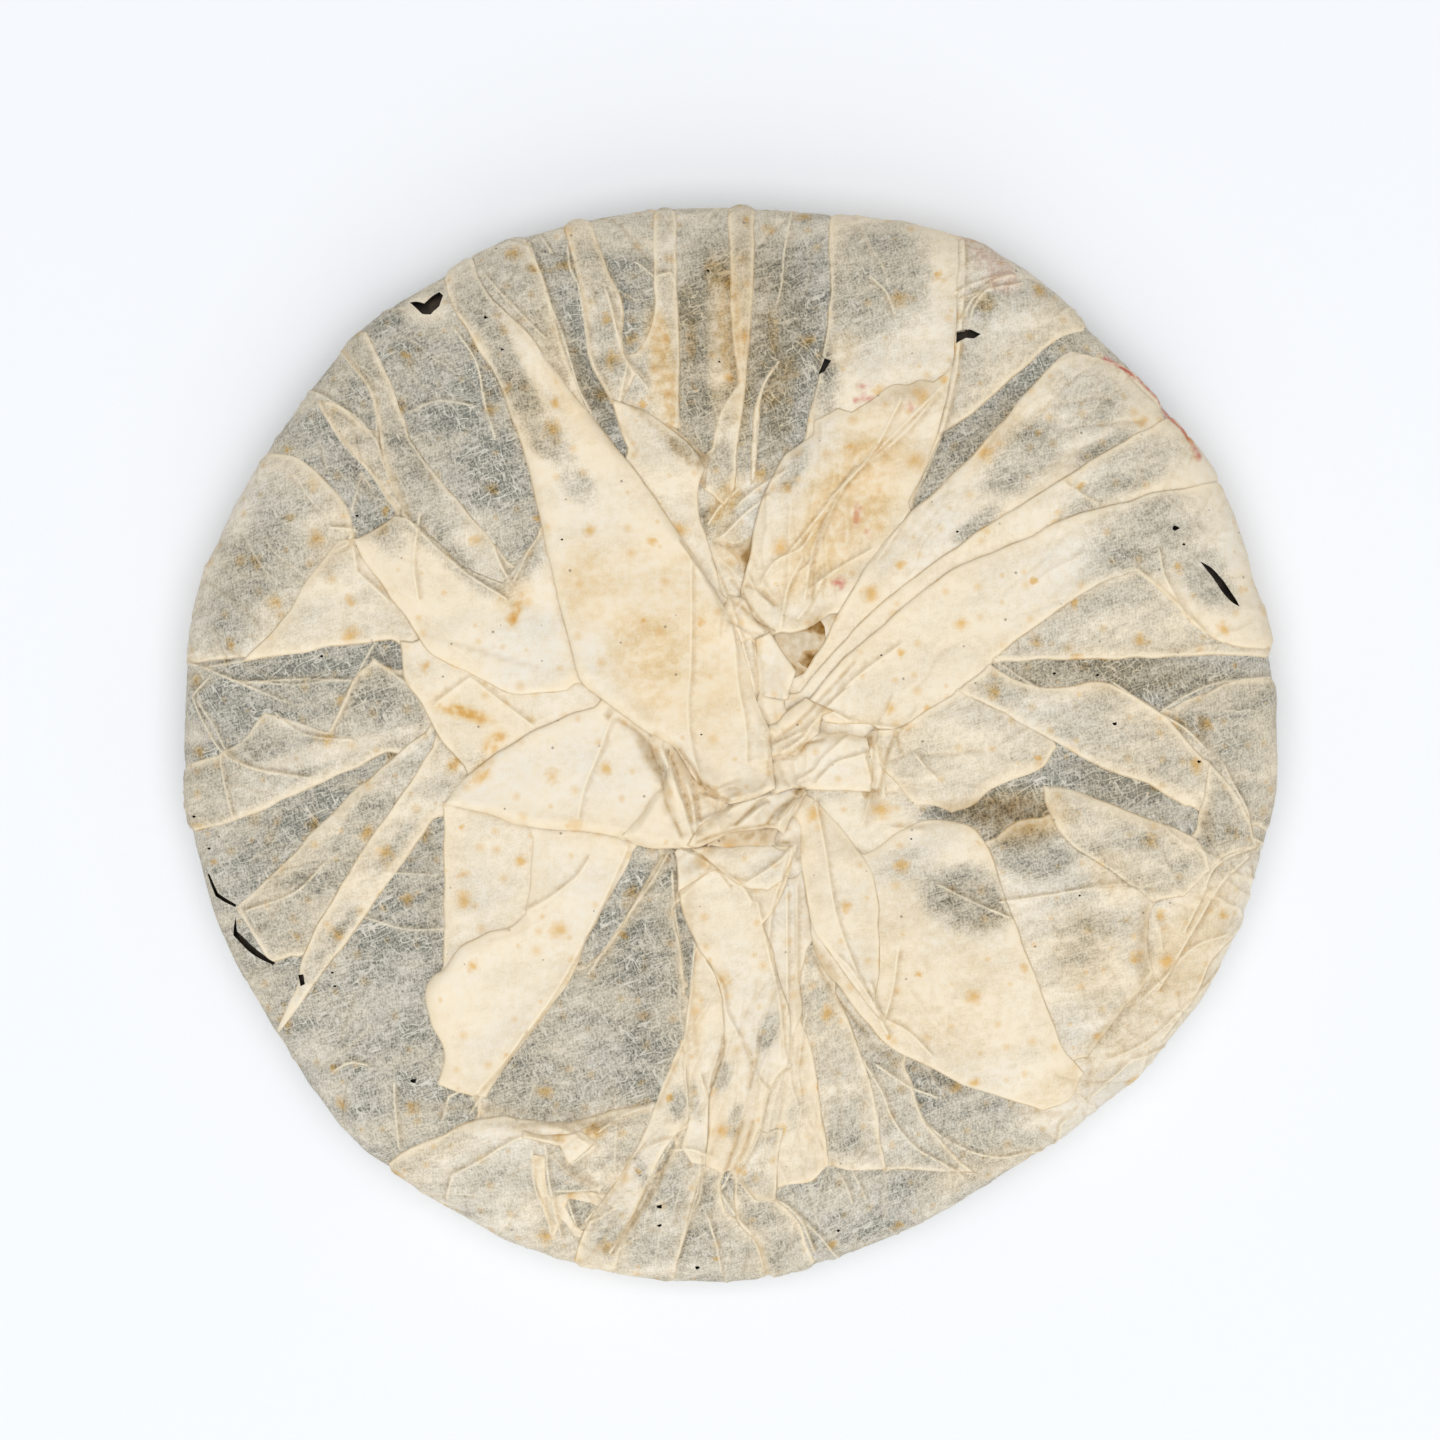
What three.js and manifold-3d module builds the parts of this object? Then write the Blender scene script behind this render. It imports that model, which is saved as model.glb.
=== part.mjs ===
// A pressed pu erh tea cake in its tissue wrapper, lying on its printed face with the gathered back up.
// Millimetres, +Z up. The origin is the middle of the face that the cake rests on.
import * as THREE from "three";
import { mergeVertices } from "three/addons/utils/BufferGeometryUtils.js";
import Module from "manifold-3d";

const wasm = await Module();
wasm.setup();

// Driving dimensions of the wrapped cake.
const RADIUS = 102; // at the equator, before the dents below
const HEIGHT = 25; // from the table to the shoulder of the back
const EQUATOR = 11.5; // height of the widest ring
const REST_RADIUS = 62; // the flat that the cake stands on
const PAPER = 0.6; // wall of the wrapper: the tissue with the air that it holds
const CLEARANCE = 0.3; // between the wrapper and the pressed tea

// Fullness of the two faces: the higher the power, the flatter the face and the tighter the shoulder.
const BACK_POWER = 5.2;
const FRONT_POWER = 2.4;
const DOME_DROP = 1.2; // how far the back falls from its middle to the shoulder

// The press bag's knot leaves a hollow in the middle of the back.
const HOLLOW = { x: 9, y: 4, radius: 21, depth: 3.4 };

// Where the outline leaves its circle: heading and spread in degrees, and depth in mm, negative inwards.
const DENTS = [
  { heading: 301, depth: -5.6, spread: 25 },
  { heading: 89, depth: -2.6, spread: 17 },
  { heading: 212, depth: -1.0, spread: 10 },
  { heading: 62, depth: 1.6, spread: 9 },
  { heading: 29, depth: 1.0, spread: 8 },
  { heading: 166, depth: 0.9, spread: 8 },
  { heading: 131, depth: 1.0, spread: 6 },
  { heading: 226, depth: 1.0, spread: 5 },
];

// Mesh densities: segments round the axis, and rings along the profile.
const OUTER = { segments: 72, back: 7, shoulder: 5, front: 5 };
const INNER = { segments: 60, back: 7, shoulder: 5, front: 5 };

const TISSUE = new THREE.MeshStandardMaterial({ name: "tissue", color: 0xe2d6b8, roughness: 0.9 });
const TEA = new THREE.MeshStandardMaterial({ name: "pressed tea", color: 0x33291f, roughness: 0.85 });

// Folds of the wrapper on the back, from the lowest to the topmost. The corners of a fold run
// anticlockwise, and a corner's third number says how far the edge that leads to it bows outwards.
// rise is the fold's height over the cake at its pressed side and at its free side, and faces is the
// heading, in degrees from +X, that the free side looks to.
const FOLDS = [
  {
    name: "north pleat, west one",
    corners: [[-9.2, 57], [-10.3, 104], [-15.5, 104], [-14.8, 77], [-20.5, 63]],
    rise: [0.25, 1.0],
    faces: 0,
  },
  {
    name: "north pleat, middle one",
    corners: [[1, 46], [5, 104, -0.8], [-1, 104], [1.2, 66], [-3.5, 56], [-4, 46]],
    rise: [0.25, 1.0],
    faces: 0,
  },
  {
    name: "north pleat, east one",
    corners: [[5.5, 46], [13, 104, -1.6], [8.6, 104], [3.6, 46, 1.6]],
    rise: [0.3, 0.8],
    faces: 0,
  },
  {
    name: "north-north-west fold",
    corners: [[-17, 67.5], [-20.5, 81, 1.2], [-27, 102], [-33, 101], [-22, 61, 2.6]],
    rise: [0.25, 0.9],
    faces: 200,
  },
  {
    name: "north-north-west ribbon",
    corners: [[-26, 58], [-39, 99, 1], [-53, 94], [-34, 66]],
    rise: [0.3, 0.9],
    faces: 20,
  },
  {
    name: "north-west pleat, lower",
    corners: [[-57, 37], [-64.5, 56, 0.8], [-84, 65, 1.6], [-71, 54]],
    rise: [0.3, 0.8],
    faces: 220,
  },
  {
    name: "north-west pleat",
    corners: [[-37, 26], [-59, 56, 0.6], [-72, 84, -1.6], [-78, 76], [-63.5, 50, -2.2], [-46, 24]],
    rise: [0.5, 1.3],
    faces: 215,
  },
  {
    name: "west rim flap",
    corners: [[-78, 26], [-69.3, 38.5], [-82, 52.5, 2.6], [-94, 54], [-106, 13, 2], [-93, 14]],
    rise: [0.3, 1.4],
    faces: 30,
  },
  {
    name: "west apron",
    corners: [[-90, 14.3], [-57, 18.8, -0.8], [-66, 40], [-74, 34.5]],
    rise: [0.7, 1.2],
    faces: 270,
  },
  {
    name: "west band",
    corners: [[-103, -19], [-53, 3, -1.6], [-58, 13], [-66, 15], [-74, 1.5, -1.4], [-88, 5], [-104, -4]],
    rise: [0.2, 0.8],
    faces: 295,
  },
  {
    name: "south-west strip, upper",
    corners: [[-80, -42], [-60, -14], [-50, 0], [-55, 2.5], [-72, -12, -0.8], [-91, -31]],
    rise: [0.2, 1.0],
    faces: 140,
  },
  {
    name: "south-west strip, lower",
    corners: [[-87, -60], [-65, -29, -0.6], [-46, -6, -0.8], [-55, 1], [-72, -27, 0.8], [-91, -61, 1]],
    rise: [0.6, 1.2],
    faces: 315,
  },
  {
    name: "south ridge",
    corners: [[-30, -105], [-12, -68, -2.6], [-31, -70.7, -0.8], [-46, -69.8], [-67, -82, 1]],
    rise: [0.3, 1.6],
    faces: 95,
  },
  {
    name: "south wedge",
    corners: [[-33, -51], [-8.7, -47, 1.6], [-10.4, -18, 0.4], [-14, -18]],
    rise: [0.3, 0.9],
    faces: 20,
  },
  {
    name: "south fan, west part",
    corners: [[-9, -106], [-2, -60, -1.2], [1, -24], [-10, -20], [-8, -55, -2], [-30, -105, -1]],
    rise: [0.4, 1.3],
    faces: 180,
  },
  {
    name: "south fan, east part",
    corners: [
      [8.5, -82.8], [20, -80.3], [47, -81], [28, -62, -1.4],
      [15.5, -36, -0.8], [12, -20], [9, -50],
    ],
    rise: [0.3, 1.2],
    faces: 60,
  },
  {
    name: "south fan, middle part",
    corners: [
      [-0.5, -83], [8, -75], [12.8, -45, 1], [12, -16],
      [-10, -16], [-6.2, -38, -1], [-1.2, -50], [-5, -76],
    ],
    rise: [0.9, 1.8],
    faces: 180,
  },
  {
    name: "north mantle",
    corners: [
      [2, 28], [11, 19.8, 2], [24, 28, 1], [41.5, 72, 2.2],
      [42, 108], [18.6, 106], [16.6, 70, 1], [5, 43],
    ],
    rise: [0.4, 1.6],
    faces: 345,
  },
  {
    name: "north-east rim flap",
    corners: [[34, 44], [52, 66], [67, 75.6], [76, 86], [43, 108], [41.7, 74]],
    rise: [0.3, 1.2],
    faces: 315,
  },
  {
    name: "north-east blade",
    corners: [[12, 5], [50, 38], [84, 58], [91, 67], [75, 77], [60.5, 70.5], [33, 41.5, -1.4], [12, 9]],
    rise: [0.6, 1.5],
    faces: 135,
  },
  {
    name: "east blade, upper",
    corners: [[13, 1], [42, 29], [90, 45], [98, 52], [91, 67], [80, 59], [48, 40], [9, 4.3]],
    rise: [1.1, 1.9],
    faces: 125,
  },
  {
    name: "east skirt",
    corners: [[48.5, 14.3], [104, 14.6], [103, 25], [88, 29], [66, 31]],
    rise: [0.3, 1.0],
    faces: 270,
  },
  {
    name: "east tail",
    corners: [[42, 7.5], [64, -2.5], [87.5, -12], [89, -3], [78, 6], [60, 10.4], [50, 18]],
    rise: [0.6, 1.3],
    faces: 265,
  },
  {
    name: "east tail, inner part",
    corners: [[27, -3], [41, -13.5, 1.4], [60, -1.5, 2], [43, 11], [28, 5]],
    rise: [0.8, 1.1],
    faces: 290,
  },
  {
    name: "east blade",
    corners: [
      [12, 1], [31, 1.6], [50, 16], [67, 28.3], [76, 31.5], [86, 21, 0.6],
      [103, 30], [98, 52], [78, 45.8, 0.8], [42, 32, 1.4], [11.5, 4],
    ],
    rise: [1.4, 2.4],
    faces: 130,
  },
  {
    name: "east rim fold",
    corners: [[80, 5], [90, -6], [104, -21], [107, 12]],
    rise: [0.7, 1.1],
    faces: 190,
  },
  {
    name: "south-east panel",
    corners: [[50, -18], [56, -58], [66, -59], [77.5, -42, 1], [80, -26], [62, -13], [53, -14.5]],
    rise: [0.5, 1.3],
    faces: 110,
  },
  {
    name: "south-east tongue",
    corners: [[58, -12], [68, -23, 1], [79, -30.5], [89, -24], [87, -19.5], [68, -11, -0.4], [58, -8.3]],
    rise: [1.1, 1.8],
    faces: 115,
  },
  {
    name: "south-east lobe",
    corners: [
      [24, -21], [15, -33, 1], [25, -52, 1.4], [58, -68.5, 1.4],
      [64, -64], [54, -37], [47, -17, 1], [33, -16, 0.8],
    ],
    rise: [0.7, 1.9],
    faces: 215,
  },
  {
    name: "west cream, lower part",
    corners: [[-46, -8], [-20, 6], [-25, 22], [-57, 22], [-61, 18.3], [-60, 11]],
    rise: [1.3, 1.6],
    faces: 200,
  },
  {
    name: "west cream, upper part",
    corners: [
      [-69.5, 38], [-58, 19.3, 0.6], [-47, 11.6, 0.4], [-24, 9.5, 0.6],
      [-32, 40], [-43, 28.5], [-58.8, 41, -1],
    ],
    rise: [1.6, 2.0],
    faces: 215,
  },
  {
    name: "south pocket",
    corners: [[-53, -45], [-34, -31], [-36, -14], [-53, -10]],
    rise: [0.7, 1.2],
    faces: 180,
  },
  {
    name: "torn tongue",
    corners: [
      [-17.5, -17], [-37, -16], [-37.5, -31], [-53, -42.5, -0.8], [-56.3, -46],
      [-53, -58, 0.6], [-54, -63.5], [-45, -66], [-25, -34, -1],
    ],
    rise: [1.3, 2.1],
    faces: 250,
  },
  {
    name: "south pillow",
    corners: [[-53, -12], [-37, -16.2, -0.4], [-19, -18], [-12.5, -9, -1], [-21, 8, 1.6], [-48, -6, 1.4]],
    rise: [1.8, 2.5],
    faces: 270,
  },
  {
    name: "north-north-west tongue",
    corners: [[-16, 42], [-9, 38], [-4.7, 50], [-12, 57.5, 1], [-22, 63]],
    rise: [0.8, 1.5],
    faces: 60,
  },
  {
    name: "gather cap",
    corners: [[7, -3], [9, -10], [20, -10.5], [30, -7, 1], [27, 1.5], [18, 4.5, 1]],
    rise: [2.3, 2.8],
    faces: 90,
  },
  {
    name: "gather scoop",
    corners: [[-20, -17.8], [-6, -19.7, 0.6], [12, -14, 2], [14, -8], [0, -9], [-10, -1], [-13.5, -8]],
    rise: [2.4, 3.2],
    faces: 260,
  },
  {
    name: "great blade",
    corners: [
      [-28, 12, 2], [-11, -1, -0.6], [-4, -9.5], [8.5, -9, 2.6], [6, 5, 0.6],
      [-14, 45, 1.6], [-38, 76], [-52, 91], [-58, 87], [-43, 66, -0.6],
    ],
    rise: [2.0, 3.0],
    faces: 285,
  },
];

// Tears that show the tea: the middle, the length and width across the tear, and the heading of its length.
const TEARS = [
  { name: "moth hole", x: -56, y: 81, length: 5.2, width: 2.2, heading: 18 },
  { name: "north tear", x: 17.4, y: 69, length: 3.2, width: 1.5, heading: 60 },
  { name: "east slit", x: 90.4, y: 28.6, length: 8.0, width: 1.5, heading: 122 },
  { name: "west slit, upper", x: -93.8, y: -27.8, length: 8.6, width: 1.2, heading: 130 },
  { name: "west slit, lower", x: -88.4, y: -38.6, length: 8.4, width: 1.2, heading: 145 },
];
const TEAR_SIDES = 8;

const FOLD_FLOOR = EQUATOR; // folds on the back stop at the widest ring
const FOLD_CEILING = HEIGHT + 12;
const FADE_FROM = 0.93; // share of the radius past which the folds flatten towards that ring
const LEAST_RISE = 0.1; // what is left of them on it
const BOW_STEPS = 3; // straight steps along an edge that bows

// How far the outline stands from its circle at a heading in degrees.
function dentAt(heading) {
  return DENTS.reduce((sum, dent) => {
    const away = ((heading - dent.heading + 540) % 360) - 180;
    return sum + dent.depth * Math.exp(-((away / dent.spread) ** 2));
  }, 0);
}

// Height of the back at a share of the radius, from the superellipse of its shoulder and its slight dome.
function backHeight(share) {
  const shoulder = Math.sqrt(Math.max(0, 1 - share ** BACK_POWER));
  return EQUATOR + (HEIGHT - EQUATOR) * shoulder - DOME_DROP * share * share * shoulder;
}

// Height of the front at a share of the radius: flat where the cake rests, then rising to the equator.
function frontHeight(share) {
  const flat = REST_RADIUS / RADIUS;
  const out = Math.max(0, (share - flat) / (1 - flat));
  return EQUATOR * (1 - Math.sqrt(Math.max(0, 1 - out ** FRONT_POWER)));
}

// Half of the cake's section, from the middle of the front, round the rim, to the middle of the back.
function profile({ back, shoulder, front }) {
  const flat = REST_RADIUS / RADIUS;
  const points = [new THREE.Vector2(0, 0)];
  for (let i = 0; i <= front; i++) {
    const share = flat + (1 - flat) * Math.sin(((i / front) * Math.PI) / 2);
    points.push(new THREE.Vector2(share * RADIUS, frontHeight(share)));
  }
  const brow = 0.82; // where the back turns down into the shoulder
  for (let i = 1; i <= shoulder; i++) {
    const share = brow + (1 - brow) * Math.cos(((i / shoulder) * Math.PI) / 2);
    points.push(new THREE.Vector2(share * RADIUS, backHeight(share)));
  }
  for (let i = 1; i < back; i++) {
    const share = brow * (1 - i / back);
    points.push(new THREE.Vector2(share * RADIUS, backHeight(share)));
  }
  points.push(new THREE.Vector2(0, backHeight(0)));
  return points;
}

// Unit normals of a profile in its own plane, pointing out of the cake.
function profileNormals(points) {
  return points.map((_, i) => {
    if (i === 0) return new THREE.Vector2(0, -1);
    if (i === points.length - 1) return new THREE.Vector2(0, 1);
    const along = points[i + 1].clone().sub(points[i - 1]).normalize();
    return new THREE.Vector2(along.y, -along.x);
  });
}

// How far the hollow of the back lowers the surface at a point.
function hollowAt(x, y) {
  const away = Math.hypot(x - HOLLOW.x, y - HOLLOW.y) / HOLLOW.radius;
  return HOLLOW.depth * Math.exp(-away * away);
}

// The cake's closed skin, moved out along its normals by offset(x, y, share), with share of the radius.
function skin(density, offset) {
  const points = profile(density);
  const normals = profileNormals(points);
  const geometry = new THREE.LatheGeometry(points, density.segments);
  geometry.rotateX(Math.PI / 2);
  const position = geometry.attributes.position;
  for (let i = 0; i < position.count; i++) {
    const ring = i % points.length;
    const normal = normals[ring];
    const onBack = points[ring].y > EQUATOR && normal.y > 0;
    const turn = Math.floor(i / points.length) % density.segments;
    const angle = (turn / density.segments) * 2 * Math.PI;
    const radial = new THREE.Vector2(Math.cos(angle), Math.sin(angle));
    const heading = THREE.MathUtils.radToDeg(angle);
    const stretch = 1 + dentAt(heading) / RADIUS;
    const plain = radial.clone().multiplyScalar(points[ring].x * stretch);
    const out = offset(plain.x, plain.y, points[ring].x / RADIUS);
    const placed = radial.multiplyScalar(points[ring].x * stretch + normal.x * out);
    const drop = onBack ? hollowAt(plain.x, plain.y) : 0;
    position.setXYZ(i, placed.x, placed.y, points[ring].y + normal.y * out - drop);
  }
  return solid(geometry);
}

// A closed geometry as a manifold solid.
function solid(geometry) {
  const bare = geometry.clone();
  bare.deleteAttribute("normal");
  bare.deleteAttribute("uv");
  const merged = mergeVertices(bare, 1e-4);
  const made = new wasm.Manifold(
    new wasm.Mesh({
      numProp: 3,
      vertProperties: merged.attributes.position.array,
      triVerts: new Uint32Array(merged.index.array),
    }),
  );
  if (made.volume() < 0) throw new Error("a solid is inside out");
  return made;
}

// A manifold solid as a geometry.
function geometryOf(made) {
  const mesh = made.getMesh();
  const geometry = new THREE.BufferGeometry();
  geometry.setAttribute("position", new THREE.BufferAttribute(mesh.vertProperties, 3));
  geometry.setIndex(new THREE.BufferAttribute(mesh.triVerts, 1));
  geometry.computeVertexNormals();
  return geometry;
}

// The outline through a loop of corners, where an edge that bows is a curve.
function outline(corners) {
  const shape = new THREE.Shape();
  let [fromX, fromY] = corners.at(-1);
  shape.moveTo(fromX, fromY);
  for (const [x, y, bow = 0] of corners) {
    const edge = new THREE.Vector2(x - fromX, y - fromY);
    const outwards = new THREE.Vector2(edge.y, -edge.x).normalize().multiplyScalar(2 * bow);
    const middle = new THREE.Vector2((fromX + x) / 2, (fromY + y) / 2).add(outwards);
    if (bow) shape.quadraticCurveTo(middle.x, middle.y, x, y);
    else shape.lineTo(x, y);
    [fromX, fromY] = [x, y];
  }
  return shape;
}

// An upright prism on an outline, from one height to another.
function prism(shape, bottom, top) {
  const settings = { depth: top - bottom, bevelEnabled: false, curveSegments: BOW_STEPS };
  const geometry = new THREE.ExtrudeGeometry(shape, settings);
  geometry.translate(0, 0, bottom);
  return solid(geometry);
}

// One fold: the part of a raised skin over its outline, pressed down at one side and lifted at the other.
function fold({ corners, rise, faces }) {
  const shape = outline(corners);
  const heading = THREE.MathUtils.degToRad(faces);
  const along = (x, y) => x * Math.cos(heading) + y * Math.sin(heading);
  const reach = shape.getPoints().map((p) => along(p.x, p.y));
  const near = Math.min(...reach);
  const far = Math.max(...reach);
  const lift = (x, y, share) => {
    const across = THREE.MathUtils.clamp((along(x, y) - near) / (far - near), 0, 1);
    const flattened = 1 - THREE.MathUtils.smoothstep(share, FADE_FROM, 1);
    return LEAST_RISE + THREE.MathUtils.lerp(rise[0], rise[1], across) * flattened;
  };
  const raised = skin(OUTER, lift);
  return prism(shape, FOLD_FLOOR, FOLD_CEILING).intersect(raised);
}

// A cutter for a tear: a pointed oval with an uneven edge, deep enough to pass the wall of the back.
function tear({ x, y, length, width, heading }) {
  const turn = THREE.MathUtils.degToRad(heading);
  const points = [];
  for (let i = 0; i < TEAR_SIDES; i++) {
    const angle = (i / TEAR_SIDES) * 2 * Math.PI;
    const ragged = i % 2 ? 1 : 0.72;
    const along = (Math.cos(angle) * length) / 2;
    const across = ((Math.sin(angle) * width) / 2) * ragged;
    points.push(
      new THREE.Vector2(
        x + along * Math.cos(turn) - across * Math.sin(turn),
        y + along * Math.sin(turn) + across * Math.cos(turn),
      ),
    );
  }
  return prism(new THREE.Shape(points), EQUATOR, FOLD_CEILING);
}

// The wrapper: the skin with its folds, hollow inside, open at its tears.
function wrapper() {
  const flush = () => 0;
  const inside = () => -PAPER;
  let paper = skin(OUTER, flush);
  for (const one of FOLDS) paper = paper.add(fold(one));
  paper = paper.subtract(skin(INNER, inside));
  for (const one of TEARS) paper = paper.subtract(tear(one));
  return paper;
}

// The pressed tea: the same form, clear of the wrapper all round.
function pressedTea() {
  return skin(INNER, () => -(PAPER + CLEARANCE));
}

function part(name, made, material) {
  const mesh = new THREE.Mesh(geometryOf(made), material);
  mesh.name = name;
  return mesh;
}

const teaCake = new THREE.Group();
teaCake.name = "wrapped tea cake";
teaCake.add(part("tea_cake", pressedTea(), TEA), part("paper_wrapper", wrapper(), TISSUE));

export default teaCake;
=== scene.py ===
"""Dresses the pressed pu erh cake: its layered tissue wrapper with folds, creases, stains and tears,
the tea that shows through, and the light and camera of a plain studio table.

Sizes are in millimetres until a mesh is made. Places on the back are in plan: millimetres from the
cake's middle as the camera sees them, +X to the right and +Y up the picture. Headings are in degrees.
"""
import math
from typing import NamedTuple

import bpy
import numpy as np
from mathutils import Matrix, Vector
from mathutils.geometry import delaunay_2d_cdt


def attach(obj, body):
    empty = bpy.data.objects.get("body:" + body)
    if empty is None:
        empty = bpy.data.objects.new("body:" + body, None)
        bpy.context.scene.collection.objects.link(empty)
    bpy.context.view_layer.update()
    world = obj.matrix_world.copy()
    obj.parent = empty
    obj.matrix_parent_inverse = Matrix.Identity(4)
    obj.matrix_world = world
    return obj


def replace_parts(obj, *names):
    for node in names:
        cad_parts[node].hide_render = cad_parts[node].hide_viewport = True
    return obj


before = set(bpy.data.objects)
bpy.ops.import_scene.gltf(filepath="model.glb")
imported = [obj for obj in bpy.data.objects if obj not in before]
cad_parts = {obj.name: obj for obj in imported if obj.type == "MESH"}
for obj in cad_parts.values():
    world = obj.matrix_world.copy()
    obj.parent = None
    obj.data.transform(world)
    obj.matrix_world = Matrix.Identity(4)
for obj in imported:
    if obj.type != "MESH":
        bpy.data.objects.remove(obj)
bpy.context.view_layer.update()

MM = 0.001

# ---------------------------------------------------------------------------------------------------
# The form of the cake, as in the CAD
# ---------------------------------------------------------------------------------------------------
RADIUS = 102.0
HEIGHT = 25.0
EQUATOR = 11.5  # height of the widest place
REST_RADIUS = 62.0  # of the flat face that it rests on
BACK_POWER = 5.2  # how square the edge of the back is
FRONT_POWER = 2.4  # how square the edge of the front is
DOME_DROP = 1.2  # how much lower the back is towards its edge
HOLLOW_MIDDLE = (9.0, 4.0)
HOLLOW_RADIUS = 21.0
HOLLOW_DEPTH = 3.4
DENTS = (  # of the outline: heading, how far it stands out in mm, and spread in degrees
    (301, -5.6, 25), (89, -2.6, 17), (212, -1.0, 10), (62, 1.6, 9),
    (29, 1.0, 8), (166, 0.9, 8), (131, 1.0, 6), (226, 1.0, 5),
)
PROFILE_STEPS = 400
OVER_RIM = 3.0  # a place in plan 1 mm outside the outline lies this far round the rim

# ---------------------------------------------------------------------------------------------------
# The camera, straight above the cake
# ---------------------------------------------------------------------------------------------------
LENS = 100.0
SENSOR = 36.0
FRAME_WIDTH = 266.7  # what the camera sees at the level of the back
BACK_LEVEL = HEIGHT - 0.5
CAMERA_MIDDLE = np.array((-1.85, 3.7))
CAMERA_DISTANCE = FRAME_WIDTH * LENS / SENSOR


def dent(heading):
    """How far the outline stands from its circle at headings."""
    total = np.zeros_like(heading)
    for middle, depth, spread in DENTS:
        away = (heading - middle + 540.0) % 360.0 - 180.0
        total += depth * np.exp(-((away / spread) ** 2))
    return total


def back_level(share):
    """Height of the back at a share of the radius."""
    shoulder = np.sqrt(np.maximum(0.0, 1.0 - share**BACK_POWER))
    return EQUATOR + (HEIGHT - EQUATOR) * shoulder - DOME_DROP * share * share * shoulder


def front_level(share):
    """Height of the front at a share of the radius."""
    flat = REST_RADIUS / RADIUS
    out = np.maximum(0.0, (share - flat) / (1.0 - flat))
    return EQUATOR * (1.0 - np.sqrt(np.maximum(0.0, 1.0 - out**FRONT_POWER)))


class Section:
    """Half of the cake's section as a path: from the middle of the back, over the rim, to the front's."""

    def __init__(self):
        turn = np.linspace(0.0, np.pi / 2, PROFILE_STEPS)
        flat = REST_RADIUS / RADIUS
        under = flat + (1.0 - flat) * np.cos(turn[1:])
        self.share = np.concatenate((np.sin(turn), under, [0.0]))
        self.level = np.concatenate((back_level(np.sin(turn)), front_level(under), [0.0]))
        radial, up = np.gradient(self.share * RADIUS), np.gradient(self.level)
        length = np.hypot(radial, up)
        self.normal_out = -up / length
        self.normal_up = radial / length
        steps = np.hypot(np.diff(self.share * RADIUS), np.diff(self.level))
        self.way = np.concatenate(([0.0], np.cumsum(steps)))
        self.rim = self.way[PROFILE_STEPS - 1]

    def at(self, way, values):
        return np.interp(way, self.way, values)


SECTION = Section()


def hollow(points):
    """How far the knot's hollow lowers the back."""
    away = np.hypot(*(points - HOLLOW_MIDDLE).T) / HOLLOW_RADIUS
    return HOLLOW_DEPTH * np.exp(-away * away)


def wrap(points, height):
    """Points of the unrolled wrapper, and their height over the cake, as places in space.

    The unrolled wrapper is a flat disc: the way from the middle of the back, and the heading."""
    way = np.hypot(*points.T)
    heading = np.arctan2(points[:, 1], points[:, 0])
    radius = SECTION.at(way, SECTION.share) * (RADIUS + dent(np.degrees(heading) % 360.0))
    radius = radius + SECTION.at(way, SECTION.normal_out) * height
    level = SECTION.at(way, SECTION.level) + SECTION.at(way, SECTION.normal_up) * height
    level = np.maximum(level - np.where(way < SECTION.rim, hollow(points), 0.0), 0.0)
    return np.column_stack((radius * np.cos(heading), radius * np.sin(heading), level))


def unroll(plan):
    """Places in plan as points of the unrolled wrapper. A place outside the outline goes on round the rim."""
    plan = np.asarray(plan, float)
    level = np.full(len(plan), BACK_LEVEL)
    for _ in range(30):
        scale = (CAMERA_DISTANCE + BACK_LEVEL - level) / CAMERA_DISTANCE
        place = CAMERA_MIDDLE + (plan - CAMERA_MIDDLE) * scale[:, None]
        heading = np.arctan2(place[:, 1], place[:, 0])
        radius = np.hypot(*place.T)
        edge = RADIUS + dent(np.degrees(heading) % 360.0)
        level = 0.5 * level + 0.5 * back_level(np.minimum(radius / edge, 1.0))
    back_way = np.interp(radius / edge, SECTION.share[:PROFILE_STEPS], SECTION.way[:PROFILE_STEPS])
    way = back_way + OVER_RIM * np.maximum(0.0, radius - edge)
    return np.column_stack((way * np.cos(heading), way * np.sin(heading)))


# ---------------------------------------------------------------------------------------------------
# Plane geometry
# ---------------------------------------------------------------------------------------------------
BATCH = 250_000  # points times segments that are worked out in one go
TINY = 1e-9


def smoothstep(low, high, value):
    share = np.clip((value - low) / (high - low), 0.0, 1.0)
    return share * share * (3.0 - 2.0 * share)


def circle(count):
    """Points of the unit circle."""
    turn = np.linspace(0.0, 2 * np.pi, count, endpoint=False)
    return np.column_stack((np.cos(turn), np.sin(turn)))


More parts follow.
